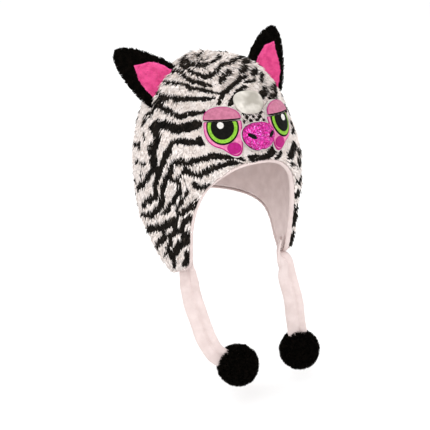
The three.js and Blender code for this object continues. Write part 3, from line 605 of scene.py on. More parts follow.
def add_skin():
    columns, rows = SKIN_GRID
    rolled = np.where(np.linspace(0, 1, rows + 1)[1:] > ROLLED_FROM, HEM_PILE, 1.0)[:, None]

    def height(point):
        return SKIN * pile_at(point) * rolled

    outer = lumpy(shell_grid(columns, rows, height), HEAD_MIDDLE, "skin")
    inner = shell_grid(columns, rows, SEWING_GAP)
    points, faces = wall(outer, inner, off_seat(0, 0, SKIN * PILE), off_seat(0, 0, SEWING_GAP))
    replaced = [f"shell_{end}_{side}" for end in ("front", "back") for side in SIDES]
    materials = [light_fur, dark_fur]
    piece = make_piece("plush_skin", points, faces, materials, slot="striped_plush", replaces=replaced)
    dark = is_dark(points[faces].mean(1))
    piece.data.polygons.foreach_set("material_index", dark.astype(np.int32))
    outside = (faces < columns * rows).all(1)
    return points, faces[outside]


def add_lining():
    outer = shell_grid(*LINING_GRID, -SEWING_GAP)
    inner = lumpy(shell_grid(*LINING_GRID, -SEWING_GAP - LINING + NAP), HEAD_MIDDLE, "lining")
    tops = (off_seat(0, 0, -SEWING_GAP), off_seat(0, 0, -SEWING_GAP - LINING))
    make_piece("fleece_lining", *wall(outer, inner, *tops), fleece, slot="fleece", replaces=["lining"])


# The fur on the skin

FUR_COUNT = 62000
SUNK = 0.7  # how deep the roots are in the skin
# A tuft on the shortest pile, and how much more it has on the longest.
TUFT_LENGTH, TUFT_LONGER = 4.2, 4.2
TUFT_WIDTH, TUFT_WIDER = 1.3, 0.8
LEAST_RISE = 0.2
VARY = {"length": (0.75, 1.25), "width": (0.75, 1.2), "rise": (0.6, 1.15)}
GUARD = Sizes(share=0.06, rise=0.5, rise_more=1.5)  # the few hairs that stand out
# Where the fur is brushed up: the middle of each place, and its radius.
RUFFLES = [
    ((36, -58, -20), 22), ((-16, -54, -7), 15), ((-20, 4, 7), 26), ((10, -28, 6), 22), ((62, -62, -60), 15),
    ((65, -72, -93), 15), ((58, -84, -118), 14), ((83, -42, -135), 22), ((-8, -104, -88), 12),
    ((-68, 6, -32), 10),
]
RUFFLE_CORE = 0.35  # the share of the radius that is brushed up in full
RUFFLE = Sizes(longer=0.3, narrower=0.2, higher=3.4)  # what this does to a tuft
# Shares of the tufts that have the other tone, and that have their second tone.
# On the light fur this is painted shade between clumps, on the crown and in the ruffles;
# on the dark fur it is a lighter, brownish tone.
STRAY = Sizes(all=0.003, ruffled=0.03, crown=0.012)
SHADED = Sizes(all=0.03, crown=0.2, ruffled=0.1)
CROWN_HEIGHTS = (-45, -10)  # the crown sets in between these
# How the fur lies: down, out from the crown, round a whorl, and with a slow drift and some tangle.
LIE_DOWN = 0.8
LIE_OUT = Sizes(least=0.05, more=0.3, heights=(-120, -70))
WHORL = np.array([-14.0, 4.0, 0.0])
SWIRL = Sizes(whorl=0.5, radius=40, elsewhere=0.1)
DRIFT = Sizes(strength=0.55, size=22.0, seeds=(31.0, 37.0, 41.0))
TANGLE = Sizes(all=0.15, ruffled=0.22)
# Near the hem the tufts turn along it and are shorter. It is felt between these distances.
HEM_STATIONS = 480
HEM_FELT = (3, 13)
HEM_TURN = 0.9
HEM_SHORTER = 0.3


def ruffled_at(points):
    """How much the fur is brushed up, from 0 to 1."""
    ruffled = np.zeros(len(points))
    for middle, radius in RUFFLES:
        far = np.linalg.norm(points - middle, axis=1)
        ruffled = np.maximum(ruffled, smooth(radius, RUFFLE_CORE * radius, far))
    return ruffled


def lie_at(points):
    """The way that the fur lies at each point."""
    away = points - WHORL
    flat = np.hypot(away[:, 0], away[:, 1])[:, None]
    spread = away * [1, 1, 0] / np.maximum(flat, 1e-6)
    turn = np.cross([0, 0, 1.0], spread)
    swirl = SWIRL.whorl * np.exp(-((flat / SWIRL.radius) ** 2)) + SWIRL.elsewhere
    drift = np.stack([noise_at(points, DRIFT.size, seed) for seed in DRIFT.seeds], 1)
    loose = TANGLE.all + TANGLE.ruffled * ruffled_at(points)
    tangle = random.normal(0, 1, points.shape) * loose[:, None]
    out = LIE_OUT.least + LIE_OUT.more * smooth(*LIE_OUT.heights, points[:, 2])[:, None]
    down = np.array([0, 0, -1.0]) * LIE_DOWN
    return spread * out + down + turn * swirl + DRIFT.strength * drift + tangle


def hem_below(points):
    """How near the hem each point is, as a share, and the way down across the hem there."""
    _, here, _, below = hem_frame(HEM_STATIONS)
    tree = KDTree(len(here))
    for i, place in enumerate(here):
        tree.insert(place, i)
    tree.balance()
    found = [tree.find(point)[1:] for point in points]
    nearest = np.array([index for index, _ in found])
    far = np.array([distance for _, distance in found])
    return 1 - smooth(*HEM_FELT, far), below[nearest]


def tuft_sizes(pile, ruffled, near_hem):
    """The length, the width and the rise of each tuft."""
    share = np.clip((pile - FACE_PILE) / (PILE - FACE_PILE), 0, 1)
    vary = {key: random.uniform(low, high, len(pile)) for key, (low, high) in VARY.items()}
    length = (TUFT_LENGTH + TUFT_LONGER * share) * vary["length"] * (1 + RUFFLE.longer * ruffled)
    length = length * (1 - HEM_SHORTER * near_hem)
    width = (TUFT_WIDTH + TUFT_WIDER * share) * vary["width"] * (1 - RUFFLE.narrower * ruffled)
    rise = (1 - SKIN) * pile * vary["rise"] + LEAST_RISE
    guard = random.random(len(pile)) < GUARD.share
    rise = rise + guard * (GUARD.rise + GUARD.rise_more * share)
    return length, width, rise + RUFFLE.higher * ruffled * random.random(len(pile))


def add_fur(points, faces):
    roots, normals = scatter(points, faces, FUR_COUNT)
    lie = lie_at(roots)
    near_hem, below = hem_below(roots)
    over = np.maximum(0, np.einsum("ij,ij->i", lie, below))
    lie = lie - below * (HEM_TURN * over * near_hem)[:, None]
    ruffled, crown = ruffled_at(roots), smooth(*CROWN_HEIGHTS, roots[:, 2])
    length, width, rise = tuft_sizes(pile_at(roots), ruffled, near_hem)
    seen = roots + along_surface(lie, normals) * (0.5 * length)[:, None]
    # Shaded tufts take the second material: painted shade on the light fur, a lighter brown on the dark fur.
    stray, shaded = (
        random.random(len(roots)) < share.all + share.ruffled * ruffled + share.crown * crown
        for share in (STRAY, SHADED)
    )
    dark = is_dark(seen) ^ stray
    front = roots[:, 1] < 0
    sunk = roots - normals * SUNK
    tones = (("light", ~dark, [light_fur, shaded_fur]), ("dark", dark, [dark_fur, brownish_fur]))
    for tone, shade, materials in tones:
        for end, half in (("front", front), ("back", ~front)):
            kept = shade & half
            mesh = tufts(sunk[kept], normals[kept], lie[kept], length[kept], width[kept], rise[kept] + SUNK)
            piece = make_piece(f"fur_{tone}_{end}", *mesh, materials, slot="striped_plush")
            tinted = np.repeat(shaded[kept], len(TUFT_FACES)).astype(np.int32)
            piece.data.polygons.foreach_set("material_index", tinted)


# The rolled binding along the hem

BINDING = Sizes(stations=420, sides=12, half_width=2.8, half_height=1.7, gap=0.5)
# The sewing draws it in: how deep and how often, and how uneven its thickness is, with the size and seed.
PUCKER = Sizes(depth=0.07, rate=360, uneven=0.05, size=5.0, seed=9.0)


def add_binding():
    stations, sides = BINDING.stations, BINDING.sides
    shares, here, out, below = hem_frame(stations)
    uneven = PUCKER.uneven * noise_at(here, PUCKER.size, PUCKER.seed)
    pucker = 1 + PUCKER.depth * np.sin(shares * PUCKER.rate) + uneven
    turns = 2 * np.pi * (np.arange(sides) + 0.5) / sides
    middle = here + below * (BINDING.gap + BINDING.half_height)
    rise = (BINDING.half_height * pucker)[:, None, None] * np.sin(turns)[None, :, None] * below[:, None]
    side = (BINDING.half_width * pucker)[:, None, None] * np.cos(turns)[None, :, None] * out[:, None]
    rings = middle[:, None] + rise + side
    ring, station = np.arange(sides), np.arange(stations)[:, None]
    here_row, next_row = station * sides, (station + 1) % stations * sides
    a, b = here_row + ring, here_row + (ring + 1) % sides
    c, d = next_row + (ring + 1) % sides, next_row + ring
    faces = np.concatenate([np.stack([a, b, c], -1).reshape(-1, 3), np.stack([a, c, d], -1).reshape(-1, 3)])
    flat = rings.reshape(-1, 3)
    make_piece("rolled_binding", flat, outward(flat, faces), fleece, slot="fleece", replaces=["edge_binding"])


# The appliqué face

LAYER = 0.7
LAYER_STEP = 1.0
PILE_GAP = 0.8
LAYER_RIM = 0.12  # how thick a layer is at its very edge
EDGE_POWER = 14  # the larger, the squarer a layer's rounded edge
PLATE_POINTS = 120
PLATE_RINGS = 14
BACKING_RINGS = 20
RIM_ROWS, IRIS_ROWS = 3, 4  # rings of a plate that its edge stitching takes
STITCHES_END = 0.97  # the share of a plate's reach where its ridges end
FELT_SIZE, FELT_SEED = 1.6, 4.0
EYE = Sizes(around=23.4, row=0.674)
IRIS_RADIUS = 17.2
PUPIL_RADIUS = 12
GLINT = Sizes(across=-1.4, up=2, radius=3.4)
LID = Sizes(
    across=-0.3, up=8.2, half_width=20, rise=13.6, fall=1.4, upper_power=2.0, lower_power=5,
    tilt=math.radians(3.5),
)
LID_GAP = 0.6
CHEEK = Sizes(across=12.3, up=-20.3, half_width=7.3, half_height=5.9)
BACKING = Sizes(half_width=22.2, rise=24.4, fall=22, upper_power=2.2, lower_power=2.2)
BULGE = Sizes(reach=11.5, angle=-57, spread=22)  # round the cheek spot
RIM_MARGIN = 1.6  # the white edge that the backing shows round the pink rim
NOSE = Sizes(
    row=0.73, half_width=17, rise=13, fall=14.5, upper_power=2.3, lower_power=1.9, height=8, wall=1.08,
    felt=1.8,
)
NOSE_BASE = PILE_GAP + 3 * LAYER_STEP
NOSE_POINTS, NOSE_RINGS = 140, 40
NOSE_LINE = (8, 9)  # the rings of its felt that carry a black line
PUFF = Sizes(flat=2.4, round=0.7)  # powers: how flat the nose's middle is, and how round its shoulder
CLEFT = Sizes(angle=-86, spread=10, depth=1.3)  # the notch between the two lobes of its lower edge
NOSTRIL = Sizes(across=9.8, up=-0.5, half_width=4.6, half_height=2, tilt=math.radians(38))
NOSTRIL_PUFF = Sizes(gap=0.3, edge=0.4, rise=0.6)
NOSTRIL_POINTS, NOSTRIL_RINGS, NOSTRIL_CORE = 40, 6, 0.2
FLAKES = (("nose_glitter", 3400, flake), ("nose_lilac_glitter", 700, lilac_flake))
FLAKE = Sizes(size=0.65, vary=(0.7, 1.3), tilt=0.35, lift=0.25, depth=0.5)
FLAKE_CORNERS = ((1, 0), (-0.5, 0.87), (-0.5, -0.87))
FLAKE_FACES = np.array([(0, 1, 2), (0, 3, 1), (1, 3, 2), (2, 3, 0)])
PATCH = Sizes(row=0.517, half_width=17, half_height=13.6, power=2.3, rings=26)
CREASES = Sizes(least=0.5, height=0.7, stretch=2.2, size=9.0, seed=6.0, end=6)
PIPING = Sizes(height=0.5, share=0.9, spread=0.035)


def spot_at(around, row):
    step = 1e-3
    span = np.linalg.norm(seat_point(around, row + step) - seat_point(around, row - step)) / (2 * step)
    return around, row, span


def on_face(spot, across, up, out):
    """A point across and up from a spot of the seat, out from the top of the pile there."""
    around, row, span = spot
    rows = row - up / span
    step = 0.01
    chord = seat_point(np.full_like(rows, step), rows) - seat_point(np.full_like(rows, -step), rows)
    per_radian = np.linalg.norm(chord, axis=-1) / (2 * step)
    bend = math.hypot(HALF_WIDTH * math.cos(around), HALF_DEPTH * math.sin(around)) / HALF_WIDTH
    arounds = around + across / (per_radian * bend)
    return off_seat(arounds, rows, out + pile_at(seat_point(arounds, rows)))


def layer_base(number):
    return PILE_GAP + number * LAYER_STEP


# Outlines: the reach from the middle at each angle

def ellipse(across, up, power=2.0):
    return lambda angle: (
        (np.abs(np.cos(angle)) / across) ** power + (np.abs(np.sin(angle)) / up) ** power
    ) ** (-1 / power)


def egg(form):
    """The outline of a form whose upper and lower halves differ in height and in how square they are."""
    upper = ellipse(form.half_width, form.rise, form.upper_power)
    lower = ellipse(form.half_width, form.fall, form.lower_power)
    return lambda angle: np.where(np.sin(angle) > 0, upper(angle), lower(angle))


def bump_at(angle, bump):
    """A rounded bump of an outline, 1 high at its middle."""
    off = angle - math.radians(bump.angle)
    return np.exp(-((np.arctan2(np.sin(off), np.cos(off)) / math.radians(bump.spread)) ** 2))


def under_lid(outline):
    """An outline, cut off above the line where the lid rests."""
    rest = LID.up - LID.fall - LID_GAP

    def cut(angle):
        rise = np.sin(angle - LID.tilt)
        return np.where(rise > 0, np.minimum(outline(angle), rest / np.maximum(rise, 1e-6)), outline(angle))

    return cut


def backing_outline(angle):
    return egg(BACKING)(angle) + BULGE.reach * bump_at(angle, BULGE)


def rim_outline(angle):
    return backing_outline(angle) - RIM_MARGIN


def nose_outline(angle):
    return egg(NOSE)(angle) - CLEFT.depth * bump_at(angle, CLEFT)


def nose_felt_outline(angle):
    return nose_outline(angle) + NOSE.felt


# Plates: closed forms on the face, whose heights and textures go by shares of their reach

def layer_height(share):
    return (LAYER - LAYER_RIM) * (1 - np.clip(share, 0, 1) ** EDGE_POWER) ** 0.5


def nose_height(share):
    return NOSE.wall + NOSE.height * np.maximum(0, 1 - share ** PUFF.flat) ** PUFF.round


def threads(pitch, depth, angle=0.0):
    """Ridges of stitching that run along an angle."""
    def texture(across, up, share):
        off = across * math.sin(angle) + up * math.cos(angle)
        return depth * np.sin(2 * np.pi * off / pitch) * (share < STITCHES_END)
    return texture


# Stitching by its pitch and depth, and in one case its angle.
LID_STITCHES = threads(1.3, 0.08)
RIM_STITCHES = threads(1.1, 0.08, 0.4)
SPOT_STITCHES = threads(1.0, 0.1)
FINE_STITCHES = threads(0.9, 0.1)
FLAT_STITCHES = threads(0.9, 0.08)


def felt(depth):
    def texture(across, up, share):
        return depth * noise_at(np.stack([across, up, 0 * across], -1), FELT_SIZE, FELT_SEED)
    return texture


def creased(across, up, share):
    """The creases of the silver cloth, and the piping inside its edge."""
    points = np.stack([CREASES.stretch * across, up, 0 * across], -1)
    creases = CREASES.least + CREASES.height * noise_at(points, CREASES.size, CREASES.seed)
    piping = PIPING.height * np.exp(-(((share - PIPING.share) / PIPING.spread) ** 2))
    return creases * (1 - share ** CREASES.end) + piping


def plate(
    spot, outline, base, texture, height=layer_height, turn=0.0, points=PLATE_POINTS, rings=PLATE_RINGS,
):
    """A closed plate on the face. Its height is by share of its reach, and its texture lifts its top."""
    angle = 2 * np.pi * np.arange(points) / points
    shares = np.sin(np.linspace(0, 1, rings + 1)[1:] * np.pi / 2)
    share, turned = np.meshgrid(shares, angle, indexing="ij")
    reach = share * outline(turned)
    across, up = reach * np.cos(turned + turn), reach * np.sin(turned + turn)
    top = on_face(spot, across, up, base + LAYER_RIM + height(share) + texture(across, up, share))
    bottom = on_face(spot, across, up, np.full_like(across, base))
    here = np.zeros(1)
    start = on_face(spot, here, here, height(here) + base + LAYER_RIM)[0]
    end = on_face(spot, here, here, here + base)[0]
    return wall(top, bottom, start, end)


def ring_of(faces):
    """The ring that each face of a plate is in, counted out from its middle."""
    return np.arange(faces) // (2 * PLATE_POINTS)


def is_edge(faces, width):
    """Which faces of a plate are within a number of rings of its edge."""
    ring = ring_of(faces)
    return (ring >= PLATE_RINGS - 1 - width) & (ring < PLATE_RINGS + width)


def add_eye(side, name):
    spot = spot_at(side * math.radians(EYE.around), EYE.row)

    def mirrored(outline):
        return outline if side < 0 else lambda angle: outline(np.pi - angle)

    def at(place):
        across, up = -side * place.across, place.up
        moved = on_face(spot, np.array([across]), np.array([float(up)]), np.zeros(1))[0]
        return spot_at(math.atan2(moved[0], -moved[1]), spot[1] - up / spot[2])

    def add(part, place, number, outline, material, slot, edge=None, rows=RIM_ROWS, **shape):
        mesh = plate(place, mirrored(outline), layer_base(number), **shape)
        materials = [material, edge] if edge else material
        piece = cover(f"{part}_{name}", "cloth", mesh, materials, slot)
        if edge:
            chosen = is_edge(len(mesh[1]), rows)
            piece.data.polygons.foreach_set("material_index", chosen.astype(np.int32))
        return piece

    add("eye_backing", spot, 0, backing_outline, white_felt, "white_felt",
        rings=BACKING_RINGS, texture=felt(0.12))
    add("eye_rim", spot, 1, under_lid(rim_outline), bright_pink, "pink_thread",
        magenta_thread, texture=RIM_STITCHES)
    add("eye_iris", spot, 2, under_lid(ellipse(IRIS_RADIUS, IRIS_RADIUS)), green_thread, "green_thread",
        black_thread, IRIS_ROWS, texture=FINE_STITCHES)
    add("eye_pupil", spot, 3, under_lid(ellipse(PUPIL_RADIUS, PUPIL_RADIUS)), black_thread, "black_thread",
        texture=FINE_STITCHES)
    add("eye_glint", at(GLINT), 4, ellipse(GLINT.radius, GLINT.radius), white_thread, "white_thread",
        texture=FLAT_STITCHES)
    lid = add("eye_lid", at(LID), 3, egg(LID), pink_thread, "pink_thread",
              magenta_thread, turn=-side * LID.tilt, texture=LID_STITCHES)
    draw_lid_line(lid.data)
    add("cheek_spot", at(CHEEK), 2, ellipse(CHEEK.half_width, CHEEK.half_height), magenta_thread,
        "magenta_foil", texture=SPOT_STITCHES)


def draw_lid_line(mesh):
    """Black stitching along the straight lower edge of a lid: the lower half of every ring."""
    mesh.materials.append(black_thread)
    faces = len(mesh.polygons)
    chosen = np.zeros(faces, np.int32)
    mesh.polygons.foreach_get("material_index", chosen)
    chosen[np.arange(faces) % PLATE_POINTS >= PLATE_POINTS // 2] = 2
    mesh.polygons.foreach_set("material_index", chosen)


def flakes_on(points, faces, count):
    """Thin closed flakes of glitter, tilted at random on a surface."""
    places, normals = scatter(points, faces, count)
    tilt = unit(normals + random.normal(0, FLAKE.tilt, places.shape))
    aside = unit(np.cross(tilt, random.normal(0, 1, places.shape)))
    along = np.cross(tilt, aside)
    reach = (FLAKE.size * random.uniform(*FLAKE.vary, count))[:, None]
    centre = places + normals * FLAKE.lift
    corners = [centre + reach * (a * aside + b * along) for a, b in FLAKE_CORNERS]
    return each_with(np.stack([*corners, centre - tilt * reach * FLAKE.depth], 1), FLAKE_FACES)


def add_nose():
    spot = spot_at(0.0, NOSE.row)
    mesh = plate(spot, nose_felt_outline, layer_base(2), felt(0.1))
    materials = [white_felt, black_thread]
    piece = make_piece("nose_felt", *mesh, materials, slot="white_felt", replaces=["nose_backing"])
    lined = np.isin(ring_of(len(mesh[1])), NOSE_LINE)
    piece.data.polygons.foreach_set("material_index", lined.astype(np.int32))
    points, faces = plate(spot, nose_outline, NOSE_BASE, felt(0.2), nose_height, 0.0, NOSE_POINTS, NOSE_RINGS)
    piece = make_piece("nose_pad", points, faces, foil, slot="magenta_foil", replaces=["nose"])
    upper = (faces < NOSE_RINGS * NOSE_POINTS).all(1)
    for name, count, material in FLAKES:
        flakes = flakes_on(points, faces[upper], count)
        make_piece(name, *flakes, material, slot="magenta_foil", smoothed=False)
    for name, side in SIDES.items():
        add_nostril(spot, side, name)


def add_nostril(spot, side, name):
    angle = 2 * np.pi * np.arange(NOSTRIL_POINTS) / NOSTRIL_POINTS
    share, turned = np.meshgrid(np.linspace(NOSTRIL_CORE, 1, NOSTRIL_RINGS), angle, indexing="ij")
    reach = share * ellipse(NOSTRIL.half_width, NOSTRIL.half_height)(turned)
    tilt = side * NOSTRIL.tilt
    across = side * NOSTRIL.across + reach * np.cos(turned + tilt)
    up = NOSTRIL.up + reach * np.sin(turned + tilt)

    def lifted(across, up, lift):
        share = np.hypot(across, up) / nose_outline(np.arctan2(up, across))
        return on_face(spot, across, up, NOSE_BASE + LAYER_RIM + nose_height(share) + lift)

    gap, edge, rise = NOSTRIL_PUFF.gap, NOSTRIL_PUFF.edge, NOSTRIL_PUFF.rise
    puff = edge + rise * np.sqrt(1 - share**4)
    top = lifted(across, up, puff + FLAT_STITCHES(across, up, share))
    bottom = lifted(across, up, np.full_like(across, gap))
    middle = (np.array([side * NOSTRIL.across]), np.array([NOSTRIL.up]))
    mesh = wall(top, bottom, lifted(*middle, edge + rise)[0], lifted(*middle, gap)[0])
    cover(f"nostril_{name}", "stitching", mesh, black_thread, "black_thread")


def add_patch():
    outline = ellipse(PATCH.half_width, PATCH.half_height, PATCH.power)
    mesh = plate(spot_at(0.0, PATCH.row), outline, layer_base(0), creased, rings=PATCH.rings)
    make_piece("silver_patch", *mesh, silver, slot="silver_cloth", replaces=["forehead_patch"])


# The ears

# Each ear as if on the wearer's left: the middle of its foot, the way its foot runs, and its tip.
# Its pink panel lies off the middle by shift, and its tip by tip_shift more. How far up the ear it goes is
# scaled by reach.
EARS = {
    "right": Sizes(
        foot=(58.4, 17, -26.6), base=(0.607, -0.143, -0.786), tip=(97.5, 49, 10),
        shift=-1.5, tip_shift=0, reach=0.91,
    ),
    "left": Sizes(
        foot=(62.5, 7.5, -23), base=(0.604, -0.305, -0.735), tip=(92, 29, 23),
        shift=4, tip_shift=-4.5, reach=1.08,
    ),
}
# Share of the length, half the width, sideways shift, half the thickness, cupping.
EAR_SECTIONS = [
    (-0.3, 27, 0.7, 4.2, 9), (0, 26.5, 1, 4.2, 8), (0.22, 25.4, 1.2, 4.2, 6.5), (0.42, 22.6, 1.3, 4, 5),
    (0.6, 19.2, 1.3, 3.8, 3.5), (0.76, 15.3, 1.3, 3.5, 2.2), (0.9, 10.4, 1.3, 3.2, 1.2),
    (0.98, 6.4, 1.2, 2.4, 0.5), (1.03, 0.4, 0, 0.4, 0),
]
EAR_SIDES, EAR_RINGS = 48, 44
EAR_SEAT = 7.4  # how far out from the seat the ears start, in the tips of the fur
EAR_FOOT = (-0.3, 0.7)  # shares of the length between which an ear meets the crown
EAR_END, EAR_TIP = 1.025, 1.04  # shares of the length of its last ring and of its point
EAR_CROWDING = 0.9  # its rings stand closer towards the tip
EAR_PILE = Sizes(count=5200, size=(2.6, 1.3, 1.3))
# Share of the length, and the upper and lower edge of the pink panel across from its middle.
PANEL_SECTIONS = [
    (-0.25, -18.5, 18.2), (0, -18.3, 17.8), (0.16, -17.8, 17), (0.32, -15, 15), (0.46, -10.8, 12),
    (0.57, -3.5, 6.5), (0.68, 2.3, 2.7),
]
PANEL_COLUMNS, PANEL_RINGS = 22, 30
PANEL_FOOT = (-0.25, 0.5)
PANEL_SEAT = EAR_SEAT + 0.4
PANEL_END = 0.675
PANEL_SHIFT = (0.25, 0.68)  # the tip's own shift comes in between these
PANEL_LEAN = -0.4  # how far its pile leans towards the crown on its way down
PANEL_LIFT = Sizes(under=0.5, foot=1.0, over=1.7)
PANEL_PILE = Sizes(count=2600, size=(2.2, 1.0, 0.6))
# Short pile: how it varies, how it strays from its lie, and how deep its roots are.
SHORT_FUR = Sizes(vary=(0.7, 1.3), stray=0.45, sunk=0.4)
MEETING_STEPS = 24


def table_at(table, key):
    """The rows of a table between its stations, where the first column is the key."""
    rows = np.asarray(table, float)
    return np.stack([np.interp(key, rows[:, 0], rows[:, i]) for i in range(1, rows.shape[1])], -1)


def ear_point(side, ear):
    """Points of an ear: a share of its length, a distance across it, and a distance out from its front."""
    foot, base, tip = (np.array(place, float) for place in (ear.foot, ear.base, ear.tip))
    front = unit(np.cross(base, tip - foot))

    def point(along, across, out):
        along, across, out = np.broadcast_arrays(along, across, out)
        made = foot + along[..., None] * (tip - foot) + across[..., None] * base + out[..., None] * front
        return made * [side, 1, 1]

    return point


def out_of_seat(points):
    """How far points near the crown stand out from the seat."""
    off = points - HEAD_MIDDLE
    level = np.hypot(off[..., 0] / HALF_WIDTH, off[..., 1] / HALF_DEPTH)
    rise = np.maximum(off[..., 2], 0) / DOME_HEIGHT
    size = (level**DOME_POWER + rise**DOME_POWER) ** (1 / DOME_POWER)
    bend = np.maximum(level, 1e-6) ** (DOME_POWER - 2)
    steepness = rise ** (DOME_POWER - 1) / DOME_HEIGHT
    slope = np.stack([bend * off[..., 0] / HALF_WIDTH**2, bend * off[..., 1] / HALF_DEPTH**2, steepness], -1)
    return (1 - 1 / size) * np.einsum("...i,...i->...", off, unit(slope))


def meets_crown(point_at, shares, columns, out):
    """For each column, the share of the length where it stands out from the seat by out."""
    low, high = (np.full(columns, share) for share in shares)
    for _ in range(MEETING_STEPS):
        middle = (low + high) / 2
        inside = out_of_seat(point_at(middle)) < out
        low, high = np.where(inside, middle, low), np.where(inside, high, middle)
    return high


def ear_columns(along):
    """Half the width of an ear at shares of its length, its shift, half its thickness and its cupping."""
    return np.moveaxis(table_at(EAR_SECTIONS, along), -1, 0)


def add_short_fur(name, points, faces, pile, material, slot, lie):
    """Short pile over a surface. Its size is its length, its width and how far its tips stand out."""
    count = pile.count
    roots, normals = scatter(points, faces, count)
    length, width, rise = pile.size
    vary = random.uniform(*SHORT_FUR.vary, count)
    leaning = unit(np.asarray(lie, float)) + random.normal(0, SHORT_FUR.stray, roots.shape)
    sunk = SHORT_FUR.sunk
    mesh = tufts(roots - normals * sunk, normals, leaning, length * vary, width * vary, rise * vary + sunk)
    make_piece(name, *mesh, material, slot=slot)


def add_ear(side, name):
    point = ear_point(side, EARS[name])
    turns = 2 * np.pi * np.arange(EAR_SIDES) / EAR_SIDES
    across = np.cos(turns)

    def surface(along):
        half, shift, thick, cup = ear_columns(along)
        return point(along, shift + half * across, cup * across**2 + thick * np.sin(turns))

    start = meets_crown(surface, EAR_FOOT, EAR_SIDES, EAR_SEAT)
    shares = np.linspace(0, 1, EAR_RINGS) ** EAR_CROWDING
    rings = np.stack([surface(start + (EAR_END - start) * share) for share in shares])
    rings = lumpy(rings, rings.mean(1, keepdims=True), "ear")
    mesh = loft(rings, rings[0].mean(0), point(np.array(EAR_TIP), 0, 0))
    piece = cover(f"ear_{name}", "pad", mesh, black_plush, "black_plush")
    upwards = point(np.array(1.0), 0, 0) - point(np.array(0.0), 0, 0)
    add_short_fur(f"ear_{name}_pile", *mesh, EAR_PILE, black_plush, "black_plush", upwards)
    add_ear_panel(side, name, point)


def add_ear_panel(side, name, point):
    ear = EARS[name]
    spread = np.linspace(0, 1, PANEL_COLUMNS)

    def front(height, lift):
        along = height * ear.reach
        upper, lower = np.moveaxis(table_at(PANEL_SECTIONS, height), -1, 0)
        half, shift, thick, cup = ear_columns(along)
        aside = ear.shift + ear.tip_shift * smooth(*PANEL_SHIFT, height)
        across = upper + (lower - upper) * spread + aside
        off = np.clip((across - shift) / half, -1, 1)
        return point(along, across, cup * off**2 + thick * np.sqrt(1 - off**2) + lift)

    def rows(lift):
        return np.stack([front(start + (PANEL_END - start) * share, lift) for share in shares])

    start = meets_crown(lambda along: front(along, PANEL_LIFT.foot), PANEL_FOOT, PANEL_COLUMNS, PANEL_SEAT)
    shares = np.linspace(0, 1, PANEL_RINGS)
    rings = np.concatenate([rows(PANEL_LIFT.over), rows(PANEL_LIFT.under)[:, ::-1]], 1)
    points, faces = loft(rings, rings[0].mean(0), rings[-1].mean(0))
    panel = f"ear_inner_{name}"
    cover(panel, "panel", (points, faces), pink_plush, "pink_plush")
    around = 2 * PANEL_COLUMNS
    upper = (faces % around < PANEL_COLUMNS).all(1) & (faces < len(rings) * around).all(1)
    lie = (PANEL_LEAN * side, 0, -1)
    add_short_fur(f"{panel}_pile", points, faces[upper], PANEL_PILE, pink_plush, "pink_plush", lie)


# The ties and pompoms

TIE_HALF_WIDTH = 11.5
TIE_HALF_THICK = 2.6
# Round the strap: shares of half its width and of half its thickness.
TIE_SECTION = [
    (-1, 0), (-0.88, 0.75), (-0.45, 1), (0, 0.95), (0.22, 0.4), (0.45, 0.95), (0.88, 0.75), (1, 0),
    (0.88, -0.75), (0.3, -1), (-0.3, -1), (-0.88, -0.75),
]
# Where the top of a tie is sewn, it is pressed flat: shares of its width and thickness, and of its length.
TIE_TOP = (0.85, 0.5, 0.25)
# A lap lies inside its flap: degrees from the front as if on the wearer's left, height, depth below the seat,
# and the way that the strap's front faces in degrees from the hat's front.
TIE_LAPS = {
    "right": [(58, -209, 4.8, -66), (62, -228, 7.4, -61)],
    "left": [(56, -206.5, 7, 60), (53.3, -224.5, 7.5, 58.5)],
}
# Below the flaps: the middle of the strap, and the way its front faces.
TIES = {
    "right": [
        (-54.8, -39.5, -242, -44), (-56.5, -51, -257, -34), (-52.5, -60, -279, -28), (-48.5, -69, -299, -26),
        (-40.5, -77, -315, -26), (-27, -82, -324, -26),
    ],
    "left": [
        (68.5, -43.5, -236.5, 19.5), (71, -44, -253.5, -2), (76, -50, -281, -12), (78.7, -52, -307, -16),
        (80.7, -54, -324, -16), (82, -54.6, -334, -16),
    ],
}
TIE_SIDES, TIE_RINGS = 36, 130
# Its edges waver: how much, as a share, and how often along its length.
TIE_WAVER = Sizes(share=0.015, rate=31)
POMPOMS = {"right": (-17.3, -85, -330), "left": (82.8, -55, -344)}
POMPOM = Sizes(core=20.1, reach=24.5, sides=60, rings=34)
POMPOM_LUMPS = (0.8, 6.0, 15.0)
YARN = Sizes(count=5200, length=2.4, width=1.5, vary=(0.75, 1.15), sunk=1.0, more=0.8)


def chord_spline(points, share):
    """A curve through points, as even as their spacing allows."""
    ends = [2 * points[0] - points[1], *points, 2 * points[-1] - points[-2]]
    place = share * (len(points) - 1)
    first = min(int(place), len(points) - 2)
    t = place - first
    p = ends[first:first + 4]
    before, here, after = (max(np.linalg.norm(p[i + 1] - p[i]) ** 0.5, 1e-4) for i in range(3))
    leave = ((p[1] - p[0]) / before - (p[2] - p[0]) / (before + here) + (p[2] - p[1]) / here) * here
    arrive = ((p[2] - p[1]) / here - (p[3] - p[1]) / (here + after) + (p[3] - p[2]) / after) * here
    cubic = 2 * p[1] - 2 * p[2] + leave + arrive
    square = -3 * p[1] + 3 * p[2] - 2 * leave - arrive
    return cubic * t**3 + square * t**2 + leave * t + p[1]


def tie_frame(points, facings, share):
    """The middle of a strap at a share of its length, with the ways across it and out of its front."""
    step = 1e-3
    ahead = unit(chord_spline(points, min(1, share + step)) - chord_spline(points, max(0, share - step)))
    facing = math.radians(float(spline(facings, share)[0]))
    out = np.array([math.sin(facing), -math.cos(facing), 0])
    out = unit(out - ahead * (out @ ahead))
    return chord_spline(points, share), np.cross(out, ahead), out


